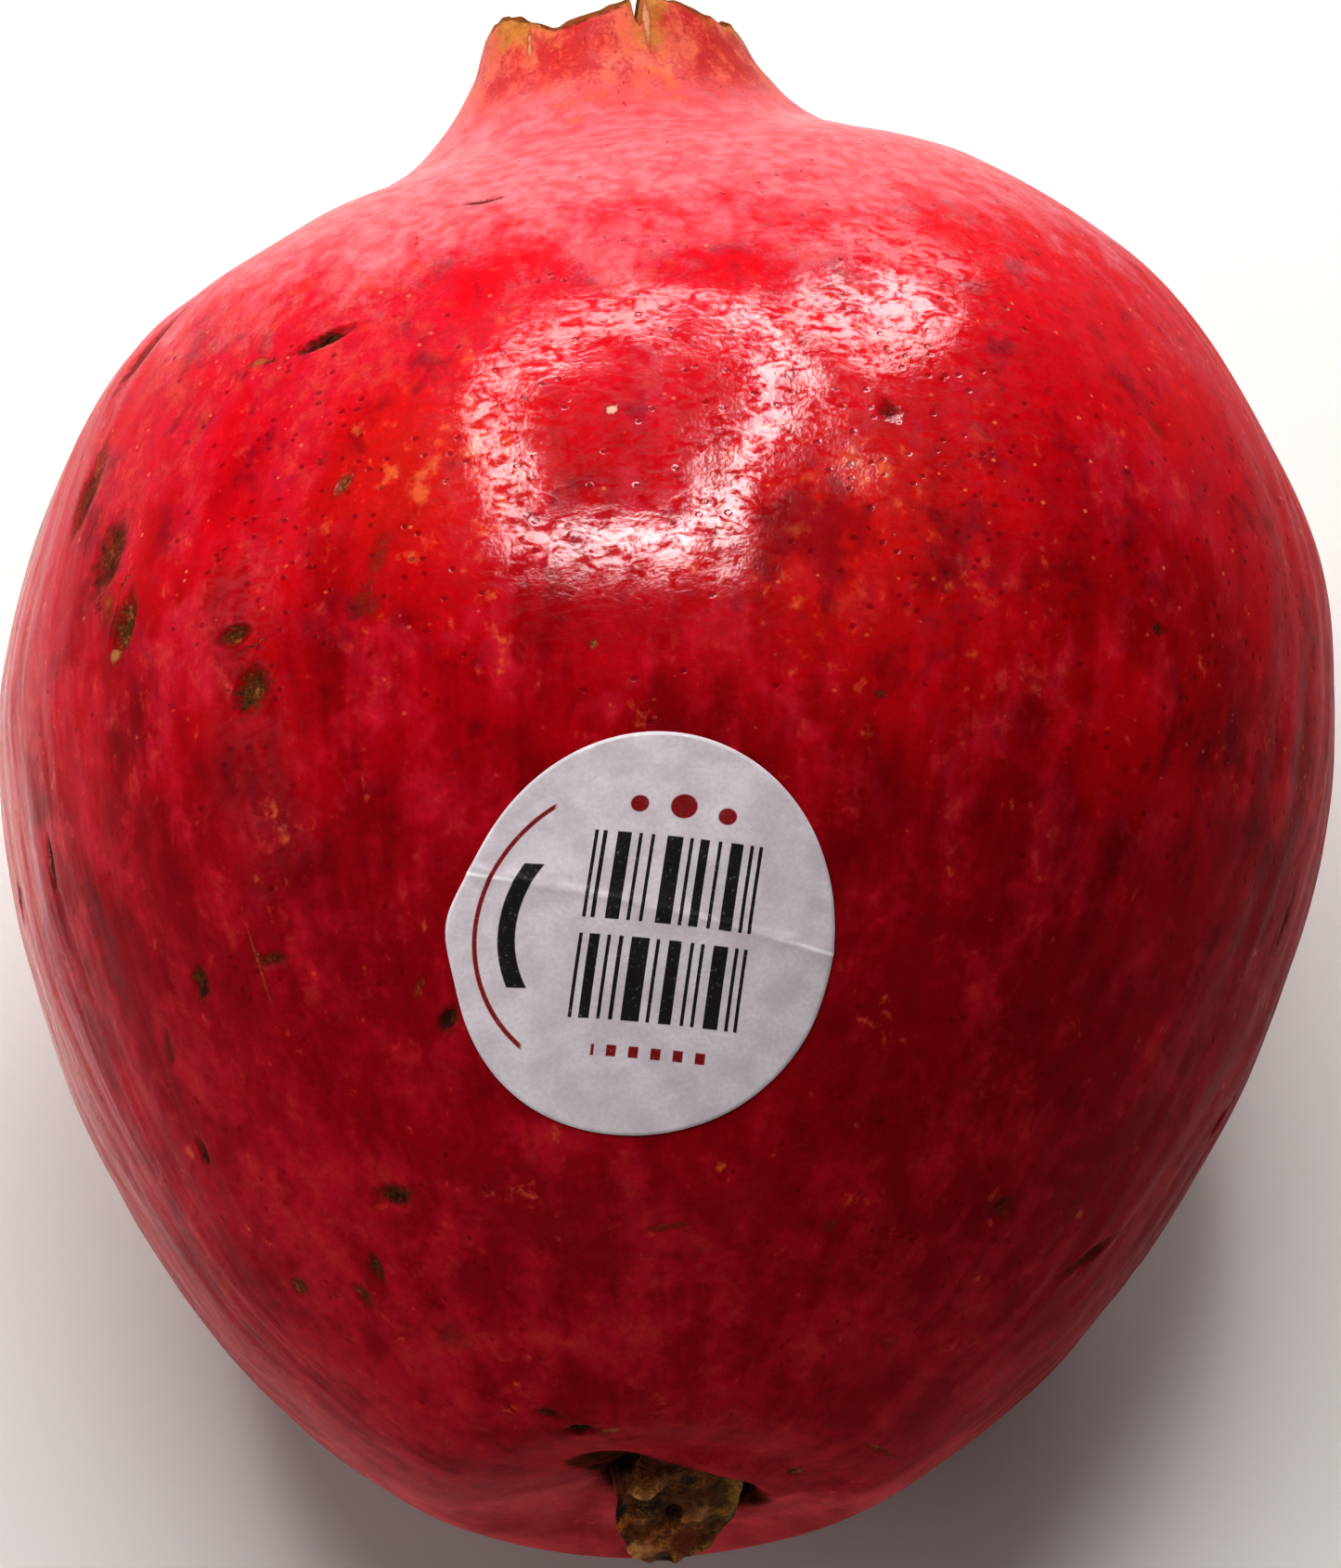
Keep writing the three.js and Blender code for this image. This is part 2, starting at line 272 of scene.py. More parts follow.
# All in mm in the fruit's own frame: height runs along its axis from the widest level to the
# crown, angle is 0 at the top and 90 degrees at the right.
fruit = {
    "lyingAngle": 15,
    "axisBend": 0.00144,
    "around": 312,  # faces round the girth
    "bellyStep": 0.96,  # size of a face on the belly and at the ends
    "endStep": 0.5,
    "floorPress": 0.15,  # how softly the resting side meets the floor
    "rings": [  # height, radius, offset across, rise at the right per mm of radius
        (38.5, 0, -3.6, 0.05),  # floor of the crown cup
        (38.5, 4.6, -3.6, 0.05),
        (41, 6.2, -3.7, 0.05),
        (45.5, 6.9, -3.8, 0.04),
        (49.9, 7.6, -3.8, 0.04),
        (50.5, 9, -3.8, 0.04),  # crown rim
        (47, 10.4, -3.4, 0.05),
        (44, 12.3, -3.3, 0.08),
        (41.3, 15.2, -3.4, 0.12),  # crown base
        (39.4, 19, -3.6, 0.15),
        (36.6, 26, -2, 0.11),  # shoulder
        (28.7, 36.9, -1, 0.06),
        (17, 44, 0.1, 0.03),
        (4, 47.4, 0.4, 0.03),  # widest level
        (-8, 46.9, 0.1, 0),
        (-20, 43.9, -0.4, 0),
        (-32, 38.4, -0.9, 0),
        (-43.5, 30.7, -1.1, 0.01),
        (-51.3, 22.2, -1.1, 0.02),
        (-55.7, 15.2, -0.7, 0.03),
        (-55.7, 9.6, -0.2, 0),  # lip of the stem pit
        (-55.3, 5.6, 0.8, -0.1),
        (-53.8, 5, 1, -0.05),
        (-50, 4.8, 1.2, 0),
        (-50, 0, 1.2, 0),  # floor of the stem pit
    ],
    "rimRing": 5,
    "ridges": [(-37, 0.9, 24), (45, 1, 26), (104, 0.8, 22), (152, 0.7, 20), (-146, 0.7, 20),
               (-95, 0.7, 22)],  # angle, height, half width in degrees
    "ridgeMean": 0.85,
    "crownCorners": [(-180, 0.4), (-150, -1.1), (-122, 0.6), (-92, -0.9), (-60, 0.2), (-25, -1.2),
                     (8, 0.4), (14, 0.9), (62, -0.7), (96, -0.8), (128, -1.2),
                     (152, 0.3), (180, 0.4)],  # angle, lift of the cut edge
    "notch": (11, 1.5, 1.7),  # angle, half width in degrees and depth of the split in the edge
    "lumps": (14, 0.16),  # size and height of soft unevenness
    "smallLumps": (4.5, 0.03),
    "ripples": (2.4, 13, 0.12),  # width, length and height of the lengthwise ripples
    "ragged": 0.35,  # how far the crown's cut edge wanders
    "layRadius": 45,  # radius of the tube that lengthwise patterns lie on
    "fleckRadius": 42,  # the same for specks and pores
    # the pit's lip: angle, radius, half width in degrees and in mm, how far it reaches out
    "lipSwells": [(28, 7.2, 42, 2.6, 1), (-30, 6.3, 16, 1.8, -0.5), (180, 9, 40, 3, -0.5)],
    # marks on the skin: height, angle, half width, half length, turn in degrees (anticlockwise as
    # seen from outside), depth, tone from 0 tan to 1 black, strength
    "marks": [
        (48.9, 13.4, 0.22, 1.7, -4, 0, -0.3, 0.9),  # torn fibres at the crown's edge
        (48.6, -38, 0.2, 1.4, 8, 0, -0.3, 0.8),
        (20.8, -33, 0.55, 2.3, -68, 0.45, 0.85, 1),  # slit below the crown
        (32.8, -20, 0.4, 1.2, -80, 0.15, 0.95, 0.8),
        (19.9, -40.5, 0.35, 0.8, -80, 0.05, 0.2, 0.6),
        (25.8, -65, 1, 4.5, -20, 0.1, 0.75, 0.6),
        (13.5, -63.5, 1.6, 3.4, -15, 0.2, 0.55, 0.75),
        (6.9, -56, 1.9, 3, -20, 0.35, 0.6, 0.85),
        (2.6, -55, 1, 1.6, 10, 0.1, 0.35, 0.5),
        (0.3, -52, 1.15, 2.6, -22, 0.6, 0.45, 1),  # deep pit on the left
        (-1.9, -53.2, 0.7, 0.7, 0, -0.15, 0, 0.9),  # its pale foot
        (-3.3, -38, 1.4, 0.8, 8, 0.35, 0.45, 0.95),
        (-8, -36.5, 1.25, 1.9, -25, 0.4, 0.5, 1),
        (7.9, -28, 0.45, 1, -28, 0.2, 0.35, 0.8),
        (1.2, -24.5, 0.6, 1.8, -20, 0.1, 0.5, 0.35),
        (-2.6, -25.5, 1.2, 1.4, 0, 0.1, 0.6, 0.4),
        (-27.2, -49, 0.8, 1.2, -20, 0.25, 0.8, 0.9),
        (-27, -39, 1.5, 0.5, -5, 0.15, 0.6, 0.7),
        (-32.8, -21, 0.65, 1.1, -40, 0.25, 0.85, 0.9),
        (-30.5, -23.5, 0.3, 1, -30, 0.05, 0.5, 0.5),
        (-42.9, -33.5, 1.4, 0.75, -12, 0.3, 0.6, 1),
        (-46.5, -41.5, 0.5, 1.2, -15, 0.2, 0.75, 0.9),
        (-47.6, -46.5, 0.5, 1, 0, 0.15, 0.55, 0.85),
        (-45.9, -57, 0.9, 0.6, 0, 0.15, 0.5, 0.85),
        (-36.8, -60, 0.5, 1.1, -10, 0.15, 0.8, 0.8),
        (-30, -58, 0.5, 1.4, -15, 0.1, 0.7, 0.6),
        (-55.1, -25.5, 0.5, 0.9, 60, 0.15, 0.75, 0.8),
        (-55.9, -21, 1.1, 0.65, -12, 0.35, 0.95, 1),
        (-56, -12.5, 0.6, 0.35, -12, 0, 0.1, 0.7),
        (-56.1, 66, 0.8, 0.6, 10, 0.15, 0.45, 0.85),
        (-55.2, 71.5, 2.6, 0.25, 12, 0.05, 0.3, 0.5),
        (-42.4, 49.5, 1.1, 0.9, 0, 0.2, 0.7, 0.55),
        (-42, 73, 0.6, 3, -35, 0.15, 0.8, 0.6),
        (-16.8, 78, 0.5, 2.2, 0, 0.1, 0.75, 0.6),
        (-14.6, -70, 0.35, 2, -10, 0.2, 0.8, 0.8),
        (11.8, 19, 0.8, 0.9, 20, 0.15, 0.8, 0.6),
        (-2.8, 44, 0.6, 0.5, 0, 0.15, 0.7, 0.8),
        (13, 47, 0.7, 1, 0, 0.1, 0.6, 0.35),
        (-10.2, 18, 0.4, 0.35, 0, 0.1, 0.6, 0.7),
        (-46.2, 2.5, 1.9, 0.3, 12, 0.05, 0.5, 0.5),
        (-50.9, 46, 0.9, 0.5, 0, 0.05, 0.4, 0.3),
        (-45.7, 25, 0.5, 0.5, 0, 0.05, 0.5, 0.3),
        (-50.6, -35, 1.3, 1.2, 0, 0.05, 0.9, 0.3),
        (-7, -6, 0.35, 0.35, 0, -0.05, 0.15, 0.8),
        (12, -5, 0.38, 0.38, 0, -0.06, -0.6, 0.9),
        (-27, -40.6, 0.16, 4.2, 3, 0.05, 0.1, 0.35),
    ],
    "hiddenMarks": 34,  # more of them, out of sight, from this seed
    "markSeed": 14,
    # soft dents and swellings: height, angle, radius in mm, depth
    "dents": [(2.6, 13, 4.5, 0.4), (7.5, 14, 3, 0.2), (21, 31, 8, -0.8),
              (-6, -32, 7, 0.15), (-52, 20, 6, 0.2)],
    # brown in the stem pit pushed out onto the lip, at the upper left partly the pit's own brown and partly
    # painted shade under the lip's overhang: angle, half width in degrees, depth that it counts for
    "brownedAndShaded": [(-36, 30, 4.6), (105, 20, 1.5)],
    # where the skin is rosier (round the crown's foot and along the left edge this also paints sheen), more
    # amber or more plum, where its wax has kept its polish and where its pores crowd: height, angle, half
    # height, half angle, share
    "rosyAndSheen": [(42, 0, 12, 180, 0.9), (26, -45, 14, 32, 1), (5, -60, 30, 18, 0.25), (-8, -90, 38, 15, 2.2),
             (-55, 20, 9, 120, 0.5), (30, 20, 8, 60, 0.3), (-45, -50, 14, 30, 0.45), (0, 78, 30, 12, 0.35),
             (-15, 175, 25, 40, 0.5)],
    "amber": [(50, -50, 2.2, 16, 1.3), (48.5, 15, 3.5, 9, 1.1), (50.5, 70, 1.5, 26, 0.8),
              (8.5, -21, 7, 9, 0.9), (5.5, 17, 6, 8, 0.5), (43, 8, 1.6, 30, 0.5), (-1, 11, 5, 6, 0.35),
              (-4, 20, 8, 14, 0.2), (15, 130, 14, 22, 0.7), (-20, -130, 12, 20, 0.5),
              (-10, 180, 12, 25, 0.6)],
    "plum": [(47.5, -20, 3.5, 22, 0.8), (47, 48, 4, 20, 0.9), (3.2, 11.5, 3, 4, 1.8),
             (4, 27, 5, 9, 0.5), (-9, 30, 7, 14, 0.5), (-20, 50, 14, 18, 0.5), (-40, 25, 12, 22, 0.4),
             (13, 40, 6, 10, 0.3), (20, -120, 12, 20, 0.4)],
    "polish": [(9, 5, 13, 25, 1.5), (2, 13, 5, 5.5, -1.4), (20, 25, 7, 10, 1.1), (46, 5, 5, 30, 0.1),
               (39, -55, 4, 26, 0.5), (39, 60, 4, 26, 0.5), (10, 150, 25, 40, 0.3),
               (-10, -110, 22, 30, 0.2), (-8, -86, 42, 19, 1.1)],
    "pores": [(5.2, -31, 9, 9, 1), (5.8, 23, 9, 9, 1), (9, -4, 9, 10, 0.3), (12, 150, 12, 30, 0.8),
              (10, -110, 14, 20, 0.8), (0, 60, 12, 14, 0.5)],
    "dullWax": 0.02,  # polish that is left everywhere
}


def smoothStep(value, low, high):
    share = np.clip((value - low) / (high - low), 0, 1)
    return share * share * (3 - 2 * share)


def angleApart(angle, middle):
    # radians from a middle that is given in degrees
    return (angle - math.radians(middle) + math.pi) % math.tau - math.pi


def bell(angle, middle, half):
    # 1 at a middle in degrees, falling off over so many degrees on both sides
    return np.exp(-(np.degrees(angleApart(angle, middle)) / half) ** 2)


def roundAxis(points):
    # angle and radius of points round the Y axis
    return np.arctan2(points[:, 0], points[:, 2]), np.hypot(points[:, 0], points[:, 2])


def ringAt(share):
    # Catmull-Rom run through all rings, share 0 at the cup's floor, 1 at the pit's floor
    rings = np.array(fruit["rings"])
    last = len(rings) - 1
    index = min(int(share * last), last - 1)
    along = share * last - index
    start = rings[index]
    end = rings[index + 1]
    pull = (end - rings[max(index - 1, 0)]) / 2
    push = (rings[min(index + 2, last)] - start) / 2
    cubic = 2 * start - 2 * end + pull + push
    square = 3 * end - 3 * start - 2 * pull - push
    return cubic * along ** 3 + square * along ** 2 + pull * along + start


def fruitProfile():
    # points along the run, closer together at both ends, each with its distance from the rim
    steps = 2400
    run = [ringAt(step / steps) for step in range(steps + 1)]
    rimStep = round(steps * fruit["rimRing"] / (len(fruit["rings"]) - 1))
    gone = np.concatenate([[0], np.cumsum([math.dist(a[:2], b[:2]) for a, b in zip(run, run[1:])])])
    profile = []
    owed = 1
    for step, ring in enumerate(run):
        if step:
            size = fruit["endStep"] + (fruit["bellyStep"] - fruit["endStep"]) * smoothStep(ring[1], 12, 32)
            owed += (gone[step] - gone[step - 1]) / size
        if owed >= 1 or step == steps:
            profile.append((*ring, gone[step] - gone[rimStep]))
            owed -= 1
    return profile


def turnedMesh(profile, sides, layers=()):
    # spins a (height, radius, ...) profile round the Y axis; further values go to vertex layers
    bm = bmesh.new()
    stores = [bm.verts.layers.float.new(name) for name in layers]
    line = []
    for point in profile:
        vertex = bm.verts.new((0, point[0], max(point[1], 0)))
        for store, value in zip(stores, point[2:]):
            vertex[store] = value
        line.append(vertex)
    edges = [bm.edges.new(pair) for pair in zip(line, line[1:])]
    bmesh.ops.spin(bm, geom=line + edges, cent=(0, 0, 0), axis=(0, 1, 0), dvec=(0, 0, 0),
                   angle=math.tau, steps=sides, use_merge=True)
    bmesh.ops.remove_doubles(bm, verts=bm.verts, dist=1e-5)
    bmesh.ops.recalc_face_normals(bm, faces=bm.faces)
    return bm


def layDown(height, radius, offset, rise, angle):
    tilt = np.arctan(2 * fruit["axisBend"] * height)
    across = offset + radius * np.sin(angle)
    up = fruit["axisBend"] * height ** 2 + radius * np.cos(angle) * np.cos(tilt)
    along = height + rise * radius * np.sin(angle) - radius * np.cos(angle) * np.sin(tilt)
    lean = math.radians(fruit["lyingAngle"])
    place = np.stack([across, along * math.cos(lean) - up * math.sin(lean),
                      along * math.sin(lean) + up * math.cos(lean)], axis=-1)
    return place + np.array(fruitMiddle)


def noiseAt(points, size, shift=0):
    moved = Vector((shift, shift, shift))
    return np.array([noise.noise(Vector(point) / size + moved) for point in points])


def zoneShare(name, height, angle):
    return sum(share * np.exp(-((height - middle) / halfHeight) ** 2) * bell(angle, middleAngle, halfAngle)
               for middle, middleAngle, halfHeight, halfAngle, share in fruit[name])


def scatteredMarks():
    # further small marks on the sides, the back and the underside
    dice = random.Random(fruit["markSeed"])
    extra = []
    while len(extra) < fruit["hiddenMarks"]:
        height = dice.uniform(-48, 34)
        angle = dice.uniform(-180, 180)
        if abs(angle) < 80:
            continue
        size = dice.uniform(0.4, 1.3)
        extra.append((height, angle, size * dice.uniform(0.5, 1), size * dice.uniform(0.8, 2.2),
                      dice.uniform(-40, 40), dice.uniform(0.05, 0.3), dice.uniform(0.2, 0.9),
                      dice.uniform(0.4, 1)))
    return extra


def readLayer(mesh, name):
    values = np.zeros(len(mesh.vertices))
    mesh.attributes[name].data.foreach_get("value", values)
    return values


def dropLayers(mesh, *names):
    for name in names:
        mesh.attributes.remove(mesh.attributes[name])


def writeVector(mesh, name, x, y, z):
    made = mesh.attributes.new(name, "FLOAT_VECTOR", "POINT")
    made.data.foreach_set("vector", np.stack([x, y, z], axis=-1).astype(np.float32).ravel())


def readPlaces(mesh):
    places = np.zeros(len(mesh.vertices) * 3)
    mesh.vertices.foreach_get("co", places)
    return places.reshape(-1, 3)


def writePlaces(mesh, places):
    mesh.vertices.foreach_set("co", (places * mm).ravel())
    mesh.update()


def outwardsOf(mesh):
    normals = np.zeros(len(mesh.vertices) * 3)
    mesh.vertex_normals.foreach_get("vector", normals)
    return normals.reshape(-1, 3)


def addPiece(name, bm, material, node):
    mesh = meshFrom(name, bm)
    mesh.shade_smooth()
    mesh.materials.append(material)
    piece = addObject(name, mesh)
    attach(piece, "root")
    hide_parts(node)
    print(name + ":", len(mesh.polygons), "faces")
    return piece


def runAt(height):
    # distance along the outer skin from the crown rim to that height
    return float(np.interp(-height, skinRun["heights"], skinRun["runs"]))


def inMark(mark, radius, angle, run, margin=0):
    # distance across and along one mark, in half sizes
    height, middle, halfWidth, halfLength, turn = mark[:5]
    across = radius * angleApart(angle, middle)
    along = runAt(height) - run
    spin = math.radians(turn)
    return ((across * math.cos(spin) + along * math.sin(spin)) / (halfWidth + margin),
            (-across * math.sin(spin) + along * math.cos(spin)) / (halfLength + margin))


def markPlaces(angle, run, radius, allMarks):
    # for each vertex its place in the nearest mark and that mark's tone, its strength and the depth
    nearest = np.full(len(run), 9)
    place = np.zeros((4, len(run)))
    depth = np.zeros(len(run))
    for mark in allMarks:
        u, v = inMark(mark, radius, angle, run)
        far = np.hypot(u, v)
        markDepth, tone, strength = mark[5:]
        depth += markDepth * (1 - smoothStep(far, 0.35, 1.25))
        depth -= 0.05 * abs(markDepth) * np.exp(-((far - 1.45) / 0.3) ** 2)
        closer = far < nearest
        nearest = np.where(closer, far, nearest)
        for row, value in enumerate((u, v, tone, strength)):
            place[row] = np.where(closer, value, place[row])
    return place[:3], place[3] * (1 - smoothStep(nearest, 1.8, 2.6)), depth


def layOfSkin(angle, run):
    # the skin unrolled to a tube
    return np.stack([fruit["layRadius"] * np.sin(angle), run, fruit["layRadius"] * np.cos(angle)], axis=-1)


def onSkin(radius, run):
    # 0 in the cup and the pit, 1 outside
    return smoothStep(run, 0.5, 6) * smoothStep(radius, 8, 14)


def unevenness(place, radius, angle, run):
    # lumps, ripples and dents, outwards in mm
    move = 0 * run
    for (size, lift), shift in ((fruit["lumps"], 3.1), (fruit["smallLumps"], 7.7)):
        move += lift * 2 * noiseAt(place, size, shift)
    width, length, lift = fruit["ripples"]
    sides = 0.2 + 0.8 * smoothStep(np.abs(np.degrees(angle)), 50, 75)
    rippled = layOfSkin(angle, run) / np.array([width, length, width])
    move += sides * smoothStep(radius, 18, 34) * lift * 2 * noiseAt(rippled, 1, 1.3)
    move *= onSkin(radius, run)
    for dentHeight, dentAngle, dentRadius, dentDepth in fruit["dents"]:
        far = np.hypot(radius * angleApart(angle, dentAngle), runAt(dentHeight) - run) / dentRadius
        move -= dentDepth * np.exp(-far ** 2)
    return move


def skinShape(height, radius, offset, rise, angle):
    # the soft ridges of the belly and the cut edge of the crown, laid down
    belly = np.exp(-((height + 2) / 34) ** 4) * smoothStep(radius, 12, 34)
    ridges = sum(lift * bell(angle, middle, half) for middle, lift, half in fruit["ridges"])
    corners, lifts = zip(*fruit["crownCorners"])
    rimShare = smoothStep(radius, 6, 7.5)
    middle, half, depth = fruit["notch"]
    cut = rimShare * smoothStep(height, 45, 50) * np.interp(np.degrees(angle), corners, lifts)
    cut = cut - rimShare * smoothStep(height, 48.2, 50) * depth * bell(angle, middle, half)
    return layDown(height + cut, radius + belly * (ridges - fruit["ridgeMean"]), offset, rise, angle)


def refineMarks(bm, allMarks):
    # finer faces in and round the marks, finest in the deep ones
    for reach, least in ((1.9, 0), (1.5, 0.14)):
        runLayer = bm.verts.layers.float["run"]
        edges = list(bm.edges)
        angle, radius = roundAxis(np.array([tuple((edge.verts[0].co + edge.verts[1].co) / 2)
                                            for edge in edges]))
        run = np.array([(edge.verts[0][runLayer] + edge.verts[1][runLayer]) / 2 for edge in edges])
        chosen = np.zeros(len(edges), bool)
        for mark in allMarks:
            if abs(mark[5]) >= least:
                chosen |= np.hypot(*inMark(mark, radius, angle, run, 0.4)) < reach
        picked = [edges[index] for index in np.nonzero(chosen)[0]]
        bmesh.ops.subdivide_edges(bm, edges=picked, cuts=1, use_grid_fill=True)


def pressFlat(place):
    # the resting side meets the floor softly
    soft = fruit["floorPress"]
    low = place[:, 2] < soft
    place[low, 2] = soft * np.exp((place[low, 2] - soft) / soft)
    place[:, 2] = np.maximum(place[:, 2], 0)


def growFruit(material):
    allMarks = fruit["marks"] + scatteredMarks()
    bm = turnedMesh(fruitRun, fruit["around"], ("offset", "rise", "run"))
    refineMarks(bm, allMarks)
    mesh = addPiece("rind", bm, material, "fruit").data
    start = readPlaces(mesh)
    angle, radius = roundAxis(start)
    height = start[:, 1]
    offset, rise, run = (readLayer(mesh, name) for name in ("offset", "rise", "run"))
    place = skinShape(height, radius, offset, rise, angle)
    writePlaces(mesh, place)
    markPlace, markNear, depth = markPlaces(angle, run, radius, allMarks)
    move = unevenness(place, radius, angle, run) - depth * onSkin(radius, run)
    place = place + outwardsOf(mesh) * move[:, None]
    # the cut edge of the crown is ragged, the pit's lip uneven
    ragged = smoothStep(height, 48, 50) * smoothStep(radius, 7, 8)
    lean = math.radians(fruit["lyingAngle"])
    axis = np.array([0, math.cos(lean), math.sin(lean)])
    place = place + axis * (ragged * fruit["ragged"] * noiseAt(place, 1.1, 5))[:, None]
    for middle, lipRadius, halfAngle, half, reach in fruit["lipSwells"]:
        share = bell(angle, middle, halfAngle) * np.exp(-((radius - lipRadius) / half) ** 2)
        place = place - axis * (reach * share * (height < -52))[:, None]
    pressFlat(place)
    writePlaces(mesh, place)

    rosyAndSheen, amber, plum, polish, pores = (zoneShare(name, height, angle)
                                        for name in ("rosyAndSheen", "amber", "plum", "polish", "pores"))
    writeVector(mesh, "lay", *layOfSkin(angle, run).T)
    writeVector(mesh, "tint", rosyAndSheen, amber, plum)
    writeVector(mesh, "markPlace", *markPlace)
    writeVector(mesh, "wear", np.clip(fruit["dullWax"] + polish, 0, 1), height, run)
    # the pit's brown reaches out onto the lip; on the upper left it is partly painted shade
    brownedAndShaded = sum(deeper * bell(angle, middle, half) for middle, half, deeper in fruit["brownedAndShaded"])
    pitDepth = run - skinRun["runs"][-1]
    pitDepth = np.maximum(pitDepth + brownedAndShaded * smoothStep(pitDepth, -1, 1.5), 0)
    writeVector(mesh, "ends", np.where(run < 0, 1, 0), np.abs(run), pitDepth)
    writeVector(mesh, "shares", markNear, pores, 0 * run)
    dropLayers(mesh, "offset", "rise", "run")


fruitRun = fruitProfile()
outerRun = np.array([point for point in fruitRun if point[4] >= 0 and point[1] > 9.6])
skinRun = dict(zip(("heights", "radii", "offsets", "rises", "runs"), outerRun.T))
skinRun["heights"] = np.maximum.accumulate(-skinRun["heights"])


rindColours = {
    "deep": (132, 0, 12),
    "bright": (172, 5, 24),
    "scarletWithPaintedLight": (212, 16, 38),
    "wineWithPaintedShade": (104, 2, 17),
    "lowRed": (142, 19, 37),
    "rose": (188, 36, 60),
    "salmon": (196, 80, 64),
    "ember": (196, 44, 24),
    "amber": (204, 112, 68),
    "blush": (220, 127, 133),
    "coral": (208, 88, 94),
    "plum": (86, 2, 20),
    "speck": (222, 128, 84),
    "pore": (92, 4, 14),
    "markPale": (226, 178, 150),
    "markTan": (166, 116, 72),
    "markBrown": (98, 58, 32),
    "markBlack": (52, 34, 24),
    "markRim": (112, 24, 16),
    "crown": (204, 110, 84),
    "crownTan": (180, 132, 66),
    "crownRed": (176, 26, 34),
    "cutEdge": (92, 52, 26),
    "cutPale": (186, 140, 78),
    "cup": (146, 92, 54),
    "pit": (96, 40, 22),
    "pitDark": (50, 26, 16),
}


def flecks(flat, scale, sizes, edge):
    # one round fleck in each cell of a flat pattern, and the random number that gave its size
    cells = addNode(flat.id_data, "TexVoronoi", {"Vector": flat, "Scale": scale, "Randomness": 1},
                    voronoi_dimensions="2D").outputs
    chance = addNode(flat.id_data, "TexWhiteNoise", {"Vector": cells["Position"]},
                     noise_dimensions="3D").outputs["Value"]
    return fade(minus(fade(chance, *sizes), cells["Distance"]), *edge), chance


